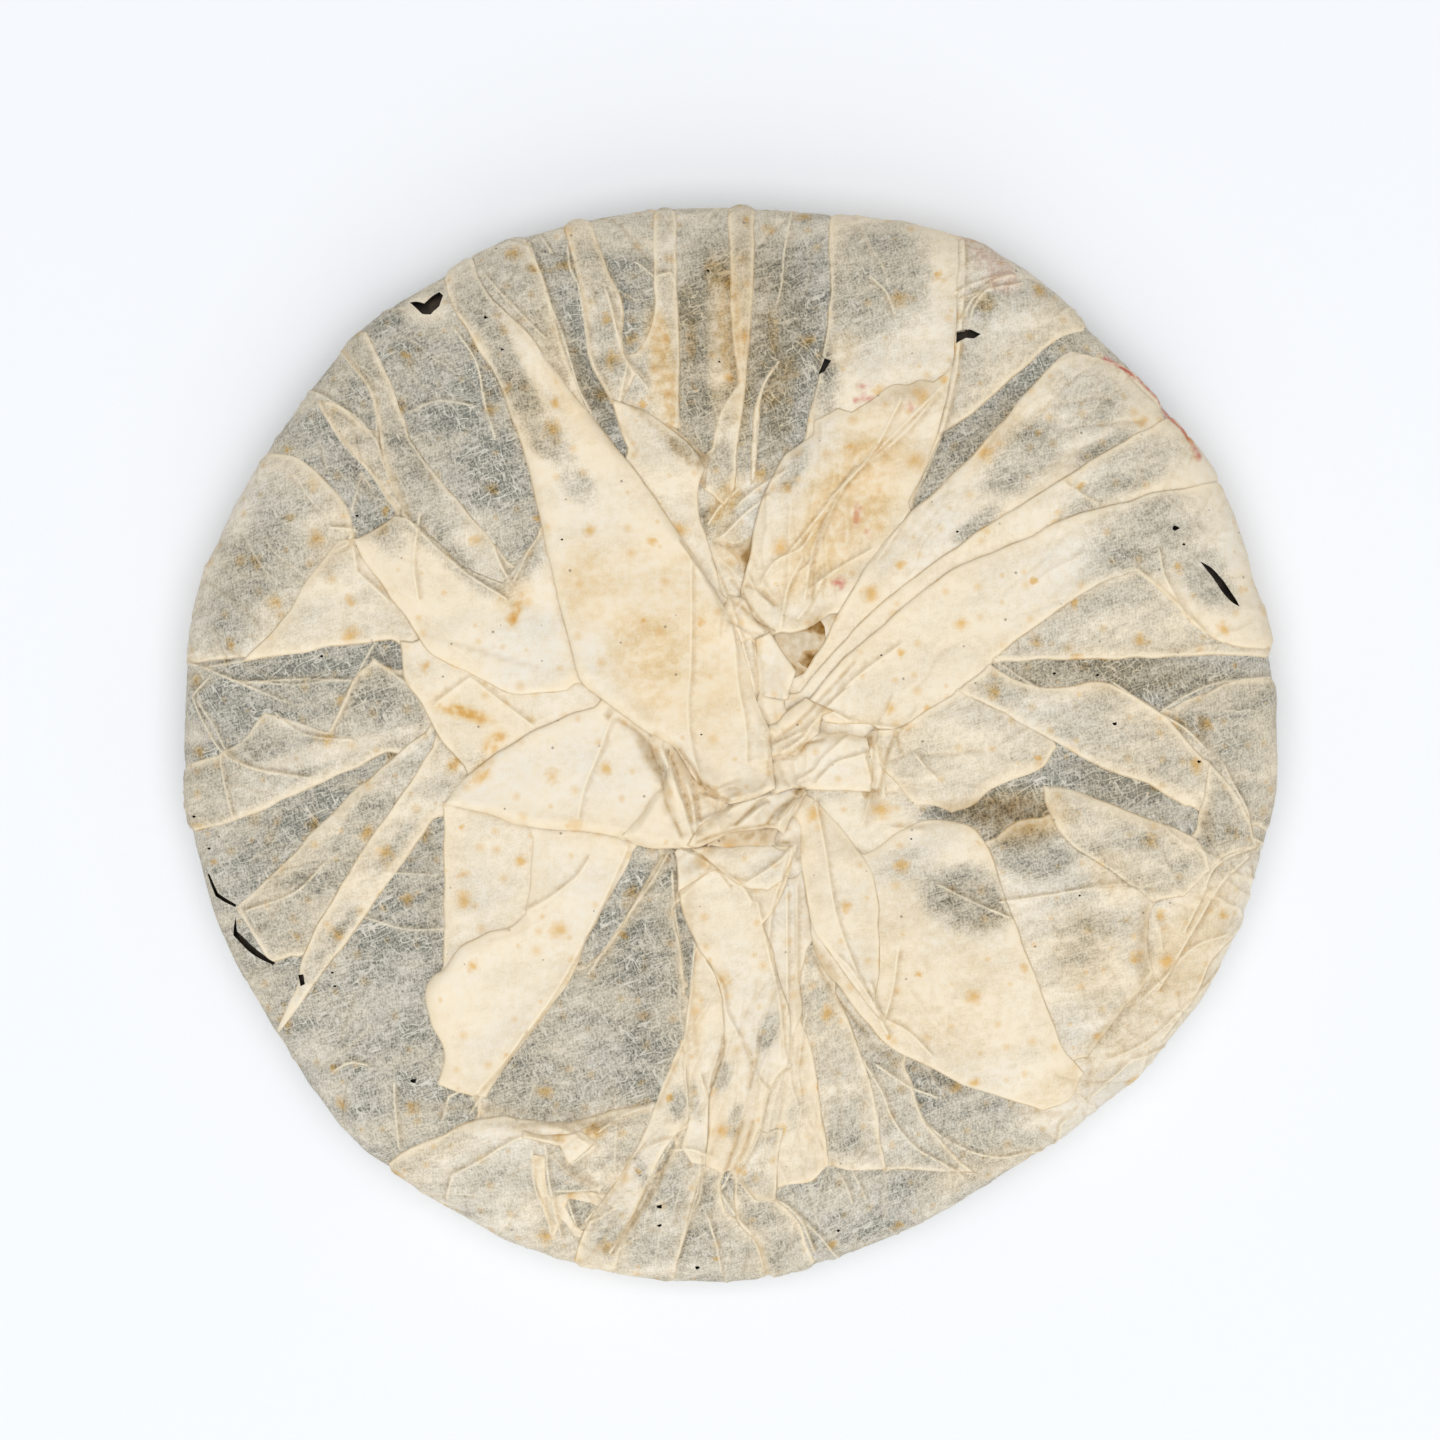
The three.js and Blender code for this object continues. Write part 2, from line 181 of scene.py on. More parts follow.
def curve_through(points, closed, step, corner=38.0):
    """A line through points at an even step, curved except where it turns by more than corner degrees."""
    points = np.asarray(points, float)
    count = len(points)
    before = np.roll(points, 1, axis=0)
    after = np.roll(points, -1, axis=0)
    if not closed:
        before[0] = points[0]
        after[-1] = points[-1]
    tangent = (after - before) / 2
    came, goes = points - before, after - points
    cross = came[:, 0] * goes[:, 1] - came[:, 1] * goes[:, 0]
    sharp = np.abs(np.arctan2(cross, np.sum(came * goes, axis=1))) > math.radians(corner)

    def pull(i, chord):
        """Direction and strength of the curve at point i of a segment."""
        if sharp[i]:
            return chord
        return tangent[i] / max(np.linalg.norm(tangent[i]), TINY) * np.linalg.norm(chord)

    pieces = []
    for i in range(count if closed else count - 1):
        j = (i + 1) % count
        chord = points[j] - points[i]
        steps = max(1, round(np.linalg.norm(chord) / step))
        t = (np.arange(steps) / steps)[:, None]
        pieces.append(
            (2 * t**3 - 3 * t**2 + 1) * points[i] + (t**3 - 2 * t**2 + t) * pull(i, chord)
            + (-2 * t**3 + 3 * t**2) * points[j] + (t**3 - t**2) * pull(j, chord)
        )
    if not closed:
        pieces.append(points[-1:])
    return np.concatenate(pieces)


def inside(points, loop):
    """Which points lie in a closed loop."""
    starts, ends = loop, np.roll(loop, -1, axis=0)
    result = np.zeros(len(points), bool)
    flat = starts[:, 1] == ends[:, 1]
    starts, ends = starts[~flat], ends[~flat]
    slope = (ends[:, 0] - starts[:, 0]) / (ends[:, 1] - starts[:, 1])
    step = max(1, BATCH // len(starts))
    for first in range(0, len(points), step):
        x, y = points[first:first + step].T[:, :, None]
        crosses = (starts[:, 1] > y) != (ends[:, 1] > y)
        crosses &= x < starts[:, 0] + (y - starts[:, 1]) * slope
        result[first:first + step] = crosses.sum(axis=1) % 2 == 1
    return result


def distance(points, line, closed):
    """Distance of each point to a line, and on which side of it: 1 to its left, -1 to its right."""
    starts = line if closed else line[:-1]
    chords = (np.roll(line, -1, axis=0) if closed else line[1:]) - starts
    square = np.maximum(np.sum(chords * chords, axis=1), TINY * 1e-3)
    gaps, sides = np.empty(len(points)), np.empty(len(points))
    step = max(1, BATCH // len(starts))
    for first in range(0, len(points), step):
        away_x, away_y = (points[first:first + step, None, :] - starts).transpose(2, 0, 1)
        share = np.clip((away_x * chords[:, 0] + away_y * chords[:, 1]) / square, 0.0, 1.0)
        gap = np.hypot(away_x - share * chords[:, 0], away_y - share * chords[:, 1])
        nearest = np.argmin(gap, axis=1)
        rows = np.arange(len(nearest))
        turn = chords[nearest, 0] * away_y[rows, nearest] - chords[nearest, 1] * away_x[rows, nearest]
        gaps[first:first + step] = gap[rows, nearest]
        sides[first:first + step] = np.where(turn < 0.0, -1.0, 1.0)
    return gaps, sides


def beside(line, closed, offset):
    """A line's points moved to its left by offset."""
    if closed:
        along = np.roll(line, -1, axis=0) - np.roll(line, 1, axis=0)
    else:
        along = np.gradient(line, axis=0)
    along = along / np.maximum(np.linalg.norm(along, axis=1), TINY)[:, None]
    return line + offset * np.column_stack((-along[:, 1], along[:, 0]))


class Places:
    """Points in order along X, to find quickly those near a line."""

    def __init__(self, points):
        self.points = points
        self.order = np.argsort(points[:, 0])
        self.x = points[self.order, 0]

    def near(self, line, reach):
        low, high = line.min(axis=0) - reach, line.max(axis=0) + reach
        first, last = np.searchsorted(self.x, (low[0], high[0]))
        chosen = self.order[first:last]
        y = self.points[chosen, 1]
        return chosen[(y > low[1]) & (y < high[1])]


GRID_STEP = 0.4
GRID_REACH = 142.0
GRID_AXIS = np.arange(-GRID_REACH, GRID_REACH + GRID_STEP, GRID_STEP)
GRID_COUNT = len(GRID_AXIS)
GRID_SHAPE = (GRID_COUNT, GRID_COUNT)
GRID_POINTS = np.stack(np.meshgrid(GRID_AXIS, GRID_AXIS, indexing="ij"), axis=-1)


def grid_place(points):
    """Points in steps of the grid from its corner."""
    return (points + GRID_REACH) / GRID_STEP


def cell_of(points):
    """Indices of the grid's cells nearest to points."""
    return tuple(np.clip(np.round(grid_place(points)).astype(int), 0, GRID_COUNT - 1).T)


def sample(field, points):
    """A field of the grid at points between its cells."""
    place = grid_place(points)
    low = np.clip(np.floor(place).astype(int), 0, GRID_COUNT - 2)
    fx, fy = np.clip(place - low, 0.0, 1.0).T
    ix, iy = low.T
    return (
        field[ix, iy] * (1 - fx) * (1 - fy) + field[ix + 1, iy] * fx * (1 - fy)
        + field[ix, iy + 1] * (1 - fx) * fy + field[ix + 1, iy + 1] * fx * fy
    )


class Region:
    """The inside of a closed loop, and the distance to its edge: exact near the edge, from a grid beyond."""

    REACH = 5.0  # the distance is known as far as this
    EXACT = 1.2  # and exact as far as this

    def __init__(self, loop):
        self.loop = loop
        self.within = self.filled()
        self.gap = self.gaps()

    def filled(self):
        """The cells inside, from where each column of cells crosses the loop."""
        place = grid_place(self.loop)
        marks = np.zeros((GRID_COUNT, GRID_COUNT + 1), np.int32)
        for (x0, y0), (x1, y1) in zip(place, np.roll(place, -1, axis=0)):
            low, high = min(x0, x1), max(x0, x1)
            columns = np.arange(math.ceil(low), math.ceil(high))
            columns = columns[(columns >= 0) & (columns < GRID_COUNT)]
            if len(columns):
                rows = np.ceil(y0 + (columns - x0) / (x1 - x0) * (y1 - y0)).astype(int)
                marks[columns, np.clip(rows, 0, GRID_COUNT)] += 1
        return np.cumsum(marks, axis=1)[:, :-1] % 2 == 1

    def gaps(self):
        """The distance of the cells to the loop."""
        gap = np.full(GRID_SHAPE, self.REACH)
        reach = round(self.REACH / GRID_STEP)
        for x, y in grid_place(curve_through(self.loop, True, GRID_STEP, corner=0.0)):
            x0, x1 = max(round(x) - reach, 0), min(round(x) + reach + 1, GRID_COUNT)
            y0, y1 = max(round(y) - reach, 0), min(round(y) + reach + 1, GRID_COUNT)
            if x0 < x1 and y0 < y1:
                away = np.hypot(np.arange(x0, x1)[:, None] - x, np.arange(y0, y1) - y) * GRID_STEP
                np.minimum(gap[x0:x1, y0:y1], away, out=gap[x0:x1, y0:y1])
        return gap

    def measure(self, points):
        """Distance of points to the edge, negative outside."""
        gap = sample(self.gap, points)
        within = self.within[cell_of(points)]
        near = np.flatnonzero(gap < self.EXACT)
        if len(near):
            gap[near] = distance(points[near], self.loop, True)[0]
            within[near] = inside(points[near], self.loop)
        return np.where(within, gap, -gap)

    def box(self):
        """The cells round the loop, as slices of the grid."""
        low = np.floor(grid_place(self.loop.min(axis=0))).astype(int)
        high = np.ceil(grid_place(self.loop.max(axis=0))).astype(int) + 1
        (x0, y0), (x1, y1) = np.clip((low, high), 0, GRID_COUNT)
        return slice(x0, x1), slice(y0, y1)


# ---------------------------------------------------------------------------------------------------
# Seeded noise
# ---------------------------------------------------------------------------------------------------
LATTICE = 256
KNOT = (12.0, -8.0)  # where the pleats run together


def blended(table, x, y):
    """Values between a table's cells, which start again past its last ones."""
    ix, iy = np.floor(x).astype(int), np.floor(y).astype(int)
    fx, fy = smoothstep(0.0, 1.0, x - ix), smoothstep(0.0, 1.0, y - iy)

    def at(dx, dy):
        return table[(ix + dx) % table.shape[0], (iy + dy) % table.shape[1]]

    low = at(0, 0) * (1 - fx) + at(1, 0) * fx
    high = at(0, 1) * (1 - fx) + at(1, 1) * fx
    return low * (1 - fy) + high * fy


def ridged(value):
    """Turns what passes through 0.5 into a sharp ridge of height 1."""
    return 1.0 - np.abs(2.0 * value - 1.0)


def noise(x, y, size, seed):
    """Smooth noise from 0 to 1 with features of a size in mm."""
    table = np.random.default_rng(seed).random((LATTICE, LATTICE))
    return blended(table, x / size + 7.3 * seed, y / size - 3.1 * seed)


def crumple(x, y, size, seed):
    """Noise from 0 to 1 with sharp ridges, as in paper that was crushed."""
    bend = size * 0.6
    bent_x = x + bend * (noise(x, y, size * 1.7, seed + 1) - 0.5)
    bent_y = y + bend * (noise(x, y, size * 1.9, seed + 2) - 0.5)
    return ridged(noise(bent_x, bent_y, size, seed))


def pleats(x, y, width, length, seed):
    """Ridges that run to the knot, about width apart at half the radius, from 0 to 1."""
    away_x, away_y = x - KNOT[0], y - KNOT[1]
    count = round(np.pi * RADIUS / width)
    turn = np.arctan2(away_y, away_x) / (2 * np.pi) * count
    table = np.random.default_rng(seed).random((LATTICE, LATTICE))[:count]
    return ridged(blended(table, turn, np.hypot(away_x, away_y) / length + 11.7))


# ---------------------------------------------------------------------------------------------------
# The wrapper's folds, from the lowest to the topmost
# ---------------------------------------------------------------------------------------------------
class Fold(NamedTuple):
    """One fold of the tissue as it lies on the back."""

    name: str
    rise: tuple  # height over what it lies on, in mm, at its pressed side and its free side
    faces: float  # heading that its free side looks to
    show: float  # how much tea shows through: 0 for several layers, 1 for a single one
    outline: tuple  # corners in plan
    tone: float = 0.0  # how deep a brown shade is painted on it


def shadow(name, tone, show, outline):
    """A dark place between folds: a flat patch of tissue with brown shade painted on it."""
    return Fold(name, (0.0, 0.1), 0, show, outline, tone)


FOLDS = (
    Fold("north_pleat_west", (0.12, 0.3), 0, 0.42, (
        (-15, 106), (-10.3, 106), (-9.7, 85), (-9.3, 70), (-9.2, 58), (-14, 60), (-20, 63), (-21, 68),
        (-15, 76), (-14, 88))),
    Fold("north_pleat_middle", (0.12, 0.3), 0, 0.45, (
        (-1, 106), (5, 106), (4.3, 85), (3.5, 72), (2, 58), (0.8, 47), (-1, 43), (-4, 46), (-4, 50),
        (-3.3, 55), (-1.7, 61), (1.5, 66), (0.3, 75), (0, 88))),
    Fold("north_pleat_east", (0.12, 0.24), 0, 0.4, (
        (4.5, 48), (3.8, 47), (4.2, 58), (5, 63), (7.5, 68.5), (8.8, 69.5), (6.3, 65.5), (5.3, 60))),
    Fold("north_west_fold", (0.12, 0.3), 200, 0.45, (
        (-33, 103), (-28, 104), (-23, 88), (-20, 81), (-19.5, 72), (-17, 67.5), (-20, 63.5), (-22, 62.5),
        (-24, 66), (-26, 70), (-27, 75), (-27.3, 80), (-28, 84))),
    Fold("north_west_ribbon", (0.12, 0.3), 20, 0.5, (
        (-49, 97), (-41, 100), (-34, 84), (-31, 73), (-27, 62), (-26.5, 61), (-31, 66.5), (-37, 75),
        (-41, 79.5), (-46, 84))),
    Fold("outer_pleat_low", (0.12, 0.3), 220, 0.55, (
        (-76, 62.5), (-72, 61.5), (-67.5, 58), (-65, 55), (-61.5, 45), (-59, 40), (-61.5, 42), (-67, 50),
        (-73, 57))),
    Fold("outer_pleat", (0.16, 0.42), 215, 0.6, (
        (-77, 77), (-71, 83), (-64.5, 70), (-60, 59), (-59, 55.5), (-55, 50), (-47, 40.5), (-41, 33),
        (-38, 28), (-45, 26), (-54, 36.5), (-59, 40.5), (-63.5, 50), (-65.5, 60), (-68.5, 67.5))),
    Fold("west_rim_flap", (0.16, 0.42), 30, 0.35, (
        (-106, 14), (-104, 28), (-98, 42), (-92, 54), (-82, 52.5), (-78, 51), (-74, 47.5), (-70.5, 42.5),
        (-69.5, 38), (-72, 36.5), (-76, 32), (-80, 25), (-87, 17), (-95, 14.5))),
    Fold("west_apron", (0.16, 0.36), 270, 0.21, (
        (-72, 36.5), (-69.5, 37), (-65, 29), (-60, 22), (-58, 19), (-65, 18.2), (-72, 17.5), (-80, 16),
        (-90, 14.5), (-82, 23), (-77, 31))),
    Fold("west_band", (0.1, 0.3), 295, 0.62, (
        (-55, 2.5), (-60, 11), (-66, 15), (-70, 11), (-74, 1.5), (-86, 5), (-93, -2), (-106, -6),
        (-106, -19), (-90, -14.5), (-80, -10), (-70, -5.5), (-62, -1.5))),
    Fold("strip_upper", (0.12, 0.3), 140, 0.55, (
        (-55, 2.5), (-53, -1), (-58, -6), (-66, -18), (-75, -31), (-80, -40), (-85, -41), (-91, -31),
        (-85, -25), (-80, -20), (-75, -15), (-68, -8), (-62, -3))),
    Fold("strip_lower", (0.16, 0.36), 315, 0.3, (
        (-54, 0), (-48, -6), (-53, -12), (-65, -29), (-75, -43), (-84, -55), (-80, -45), (-79, -40),
        (-72, -27), (-62, -12))),
    Fold("south_wedge", (0.1, 0.24), 20, 0.66, (
        (-12, -20), (-10.5, -20), (-10.3, -30), (-9, -40), (-8.6, -50), (-9.5, -62), (-14, -71),
        (-30, -74), (-46.5, -73), (-47, -63.5), (-43, -58), (-35, -49.5), (-23, -38), (-16, -27))),
    Fold("south_pocket", (0.16, 0.3), 180, 0.14, (
        (-53, -12), (-45, -14), (-36, -14.5), (-35, -33), (-41, -36), (-45, -38), (-50, -41),
        (-53, -45))),
    Fold("torn_tongue", (0.24, 0.54), 250, 0.07, (
        (-36.5, -16.5), (-28, -17), (-17.5, -19), (-20, -25), (-25, -34), (-30, -45), (-36, -53),
        (-42, -61), (-45, -66), (-49, -65.5), (-54, -63.5), (-53, -58), (-55.5, -52), (-56.3, -46),
        (-55, -43.5), (-53, -42.5), (-50, -38.5), (-45, -35.5), (-41, -34.5), (-38, -32), (-37, -26))),
    Fold("south_ridge", (0.16, 0.54), 95, 0.42, (
        (-14, -67.5), (-20, -68), (-25, -69.5), (-31, -70.5), (-38, -70), (-42, -69.3), (-48, -70.5),
        (-53, -73), (-61, -76.5), (-68, -84), (-46, -98), (-30, -105), (-22, -84), (-15, -74))),
    Fold("south_ribbon_top", (0.16, 0.5), 90, 0.14, (
        (-38.4, -71.6), (-34.5, -72.4), (-30.5, -72.4), (-27.4, -72), (-24.6, -74), (-27.4, -76.4),
        (-30.1, -78.7), (-30.5, -76.4), (-31.3, -74.8), (-35.3, -74), (-38.4, -73.2))),
    Fold("south_ribbon_left", (0.12, 0.3), 0, 0.2, (
        (-36.4, -76.4), (-34.1, -76.8), (-33.7, -82.7), (-31.7, -89), (-32.5, -91.7), (-34.5, -85.8),
        (-36.1, -80.3))),
    Fold("south_ribbon_low", (0.12, 0.3), 0, 0.18, (
        (-32.9, -84.2), (-28.2, -83.1), (-22.7, -83.8), (-23.4, -85), (-29.4, -84.6), (-30.1, -85.8),
        (-27.4, -90.5), (-28.6, -90.9), (-32.1, -86.6))),
    Fold("south_fan_far", (0.12, 0.24), 60, 0.5, (
        (20, -45.5), (24, -51), (28, -55.5), (31, -57.5), (33, -62), (36, -70), (42, -77), (46, -80),
        (29, -79.5), (28.3, -77), (27.3, -70), (26.3, -64.5), (24.8, -59.5), (22.3, -52.5))),
    Fold("south_fan_outer", (0.12, 0.3), 60, 0.38, (
        (13.5, -45), (13.6, -40), (15.4, -36.5), (16.8, -41), (19.5, -47), (22.5, -53), (25, -60),
        (26.5, -65), (27.5, -70), (28.3, -77), (29, -79.5), (21, -79.3), (18.4, -78.5), (17.3, -70),
        (16.2, -64), (15, -57), (13.4, -51))),
    Fold("south_fan_east", (0.12, 0.3), 60, 0.15, (
        (13.5, -45), (13.3, -52), (14.8, -56), (16, -63), (17.2, -70), (18.3, -78.5), (15, -81.5),
        (12, -82), (8.7, -82.3), (8.6, -78), (4.5, -76), (4.5, -70), (6, -64), (8, -58), (11, -52))),
    Fold("south_fan_low_west", (0.12, 0.3), 180, 0.62, (
        (-4.8, -78), (-1.5, -80), (-1.5, -84), (0, -88), (4, -93), (7, -104), (-2, -105), (-12, -105),
        (-8, -89), (-6, -83))),
    Fold("south_fan_low_east", (0.12, 0.3), 30, 0.58, (
        (0.5, -80), (4, -84.5), (8.5, -85), (12, -88), (14, -92), (18, -102), (8, -104), (5, -93),
        (1, -88))),
    Fold("south_fan_flap", (0.16, 0.3), 240, 0.4, (
        (5, -73.5), (8, -72), (9.8, -71.8), (9, -77), (8.5, -85), (5, -84.8), (2.5, -82), (0.5, -79.5),
        (3, -77))),
    Fold("south_fan_left_low", (0.16, 0.36), 180, 0.45, (
        (-7.5, -70), (-5.5, -76.3), (-4.8, -78), (-6, -83), (-8, -89), (-11, -104), (-24, -105),
        (-17, -88), (-13, -80), (-11, -76.5), (-9.5, -74))),
    Fold("south_fan_west", (0.16, 0.42), 180, 0.2, (
        (-8.5, -55), (-8.3, -62), (-7.7, -69), (-10, -73), (-13, -77.5), (-16, -84), (-19, -91),
        (-24, -105), (-31, -103), (-27, -91), (-23, -84), (-19, -78), (-14, -68), (-12, -63))),
    Fold("south_fan_left", (0.16, 0.36), 180, 0.12, (
        (-6.2, -38), (-4.5, -41), (-1.8, -45.5), (-1.3, -52), (-1.5, -57), (-2.5, -62), (-4, -66),
        (-4.5, -72), (-4.8, -78), (-7, -78), (-9, -75), (-7.5, -70), (-8.2, -60), (-8.5, -55),
        (-7.5, -48))),
    Fold("south_fan_pleat", (0.16, 0.3), 0, 0.12, (
        (6.2, -34), (9.5, -29), (11, -27), (13, -24.5), (13.5, -30), (14.3, -38), (13, -44), (13.2, -50),
        (11.8, -54), (11.3, -59), (11, -52), (10, -46), (8, -40))),
    Fold("south_fan_middle", (0.24, 0.48), 180, 0.11, (
        (-10, -21), (-6, -20), (5, -19.5), (12, -19.5), (11, -25), (9.5, -29), (6.2, -34), (7.5, -38),
        (9.5, -45), (11, -50), (11.3, -55), (11, -60), (9, -62), (7, -65), (6, -70), (4.5, -74), (3, -77),
        (1, -79), (-1.5, -80), (-4.5, -78.5), (-4, -72), (-3.8, -66), (-2.5, -62), (-1.2, -58),
        (-1.3, -52), (-1.5, -47), (-3.5, -42), (-6.2, -38), (-9.2, -30))),
    Fold("gather_corner", (0.1, 0.3), 200, 0.1, (
        (-10, -21), (-6.5, -20), (-2.5, -23.4), (-5, -25.3), (-9.8, -28.5), (-10, -24))),
    Fold("gather_apron", (0.15, 0.5), 270, 0.18, (
        (-6.5, -20.3), (11, -20.5), (10, -26), (7, -28), (2, -27), (-2.8, -23.3))),
    shadow("hollow_deep", 0.36, 0.1, (
        (6.5, 20.4), (12, 21), (17, 23.4), (18.4, 20), (15.6, 15.4), (13, 11.6), (10.6, 14), (8.4, 18))),
    shadow("hollow_darkest", 0.95, 0.1, (
        (13.6, 20.2), (17, 23.4), (17.8, 20.2), (16.7, 18.5), (15.7, 19.5))),
    shadow("hollow_dark_low", 0.9, 0.1, ((13.5, 16.5), (15.9, 16.8), (14.8, 13.8), (13.6, 14.7))),
    shadow("hollow_dark_foot", 0.75, 0.1, ((10.7, 14.6), (12.8, 14.4), (13.6, 12.2), (11.6, 12.6))),
    shadow("hollow_sliver", 0.3, 0.1, (
        (17.3, 22.6), (19.8, 25.8), (25, 30.8), (22.3, 25), (20, 21.4), (17.9, 19.4))),
    shadow("north_gap", 0.7, 0.1, (
        (-2.6, 37), (0, 36.2), (1.6, 35.6), (3.4, 37.4), (4.2, 36), (3.8, 33), (2.6, 31.6), (1, 34),
        (-0.5, 35.4))),
    Fold("north_mantle", (0.16, 0.54), 345, 0.14, (
        (18.5, 106), (18.2, 88), (18.5, 82), (17, 71), (15, 62), (13.5, 55.5), (9.5, 50), (5.5, 43.5),
        (3.5, 34), (2, 28), (4.5, 23.5), (8, 20.3), (12, 20), (17, 22.3), (22, 26.5), (27, 32),
        (34.5, 46), (38.5, 60), (41.5, 72), (41.8, 106))),
    Fold("mantle_patch", (0.16, 0.4), 345, 0.12, (
        (9.8, 52.5), (12.5, 54.5), (15.3, 56.4), (15.7, 59), (18, 60.2), (20, 61.2), (22.5, 60.6),
        (27, 63.5), (30.3, 65.5), (33, 65.6), (35, 66.4), (37.5, 66), (41.5, 69), (40.8, 62), (39, 56.4),
        (34.2, 46), (27, 32), (22, 26.5), (17, 22.3), (12, 20), (8, 20.3), (4.5, 23.5), (2, 28),
        (3.5, 34), (5.5, 43.5))),
    Fold("north_east_rim_flap", (0.16, 0.36), 315, 0.38, (
        (42, 106), (58, 96), (72, 85), (67, 75.8), (60.5, 74), (52, 66.5), (45, 60.5), (40, 57),
        (38.3, 55.5), (35.5, 48), (36, 50), (39, 60), (41.5, 74))),
    Fold("north_east_blade", (0.16, 0.48), 135, 0.12, (
        (60.5, 70.5), (63, 72), (72, 69), (79, 63), (80, 59), (70, 53.5), (60, 47.5), (48, 40),
        (36, 31.5), (24, 21.5), (13, 9), (10, 6), (14, 13), (18, 19.5), (22, 27), (27, 35), (33, 41.5),
        (42, 50), (52, 61))),
    Fold("east_skirt", (0.12, 0.36), 270, 0.34, (
        (75, 31), (88, 25), (106, 24), (106, 14.5), (94, 15.5), (70, 15), (48.5, 14.5), (60, 23.5),
        (67, 28.3))),
    Fold("east_blade_upper", (0.16, 0.42), 125, 0.12, (
        (80, 59), (89, 62), (96, 50), (87, 47.2), (78, 45.8), (74, 44.5), (70, 43.8), (62, 41),
        (55, 37.8), (42, 32), (35, 27), (28, 21), (20, 14), (12, 4), (9, 4), (13, 9), (24, 21.5),
        (36, 31.5), (48, 40), (60, 47.5), (70, 53.5))),
    Fold("east_blade", (0.24, 0.54), 130, 0.1, (
        (87.5, 47), (97, 49), (106, 36), (106, 16.5), (94, 17), (86, 20.5), (80, 27), (75, 31.3),
        (67, 28.3), (60, 23.5), (50, 16), (42, 9), (35, 4.7), (31, 2.2), (25, 3), (20, 3), (14, 4),
        (12, 4), (20, 14), (28, 21), (35, 27), (42, 32), (55, 37.5), (62, 41), (70, 43.5), (74, 44.3),
        (78, 45.8))),
    Fold("east_tail_inner", (0.16, 0.36), 290, 0.25, (
        (27, 2), (31, 2.2), (35, 4.7), (42, 9), (50, 5.3), (60, -1.5), (58, -5), (52, -7.5), (48, -9.5),
        (45, -12), (41, -13.5), (38, -12.3), (34, -12), (31, -8), (28, -5))),
    Fold("east_rim_fold", (0.12, 0.24), 190, 0.6, (
        (106, 12), (93, 10.8), (88, 9), (80, 5), (84, 1), (88, -3), (92, -9), (95, -14), (104, -20))),
    Fold("east_tail", (0.16, 0.42), 265, 0.36, (
        (42, 9), (48, 14), (55, 10.3), (62, 10), (70, 10.5), (80, 4.5), (86, -2), (88, -4), (87.5, -12),
        (84, -12.5), (77, -8), (71, -6), (62, -1.5), (50, 5.3))),
    Fold("south_east_rim_fold", (0.12, 0.24), 180, 0.6, (
        (88, -3.5), (93, -10), (96, -16), (97, -20), (92, -21), (88.5, -24), (86, -19.5), (86.5, -14),
        (87.5, -10))),
    Fold("south_east_panel", (0.12, 0.3), 110, 0.28, (
        (48, -19), (53, -15), (59, -14.5), (64, -20), (75, -27.5), (78, -30), (77, -38), (78.5, -43),
        (75, -47), (70, -53.5), (66, -59), (61.5, -58), (56, -43), (52, -32), (49.3, -24))),
    Fold("south_east_tongue", (0.16, 0.48), 115, 0.32, (
        (58, -8.5), (62, -9), (68, -11), (75, -13.5), (85, -17.5), (87, -20), (88.5, -24), (84, -29),
        (78, -30), (75, -27.5), (68, -23), (63, -19.5), (60, -16), (58.5, -12))),
    Fold("south_east_lobe", (0.24, 0.54), 215, 0.12, (
        (25, -21), (33, -16), (37, -14.8), (43, -15.5), (46.5, -18), (49.3, -24), (51.5, -30), (54, -37),
        (57, -45), (60, -53), (62, -57.5), (65.5, -61.5), (63, -66), (58, -68.5), (45, -64.5),
        (38, -61.3), (30, -57), (25, -52), (20, -45.5), (17, -42), (15, -36), (16, -28), (20, -22))),
    Fold("south_lap", (0.16, 0.3), 0, 0.1, (
        (13, -11), (12.8, -14.8), (13.5, -24), (15.4, -35), (19.5, -41), (24, -47), (28.3, -52.2),
        (26.7, -48), (27.6, -42.6), (27.4, -29.6), (26.3, -24.4), (20.4, -15.9), (15.6, -10.7))),
    Fold("west_cream_low", (0.24, 0.36), 200, 0.1, (
        (-61, 18.3), (-60, 11), (-57, 6.5), (-54, 1), (-51, -3), (-48, -6), (-40, 0), (-30, 5), (-20, 8),
        (-25, 20), (-45, 22), (-55, 18))),
    Fold("west_cream", (0.16, 0.36), 215, 0.07, (
        (-69.5, 37), (-67.5, 33), (-61, 24), (-58, 19.5), (-55, 15.5), (-47, 11.8), (-40, 8.5), (-30, 9),
        (-27, 12), (-30, 19), (-33, 31), (-35, 39), (-37, 36), (-42, 29), (-49, 32), (-54, 36.5),
        (-58.8, 40.5), (-62, 41.5))),
    Fold("south_pillow", (0.3, 1.4), 270, 0.05, (
        (-53, -12), (-48, -6), (-40, -0.5), (-30, 4.5), (-22, 7), (-17, 3), (-14, -3), (-12.5, -9),
        (-14, -13), (-17, -15.5), (-20, -18), (-28, -16.8), (-37, -16.2), (-45, -13.8))),
    shadow("tongue_shadow", 0.55, 0.5, (
        (-12, 59), (-9.1, 56.8), (-5.6, 53.5), (-4.2, 52.5), (-4.6, 47), (-7, 51), (-10, 56))),
    Fold("north_tongue", (0.16, 0.42), 60, 0.16, (
        (-22, 63), (-15, 60.3), (-11, 57.5), (-7, 54.5), (-4.7, 50), (-6, 45), (-4.6, 38), (-2.5, 31),
        (-1.5, 26), (1, 20), (-4, 22), (-9, 33), (-12, 40), (-15.5, 47.5), (-19, 54))),
    Fold("hollow_left", (0.2, 0.5), 60, 0.06, (
        (-0.5, 27), (3, 26), (4.5, 22.5), (8, 20.2), (4.8, 18.8), (2, 19.5), (0.8, 21))),
    Fold("hollow_panel", (0.2, 0.5), 90, 0.06, (
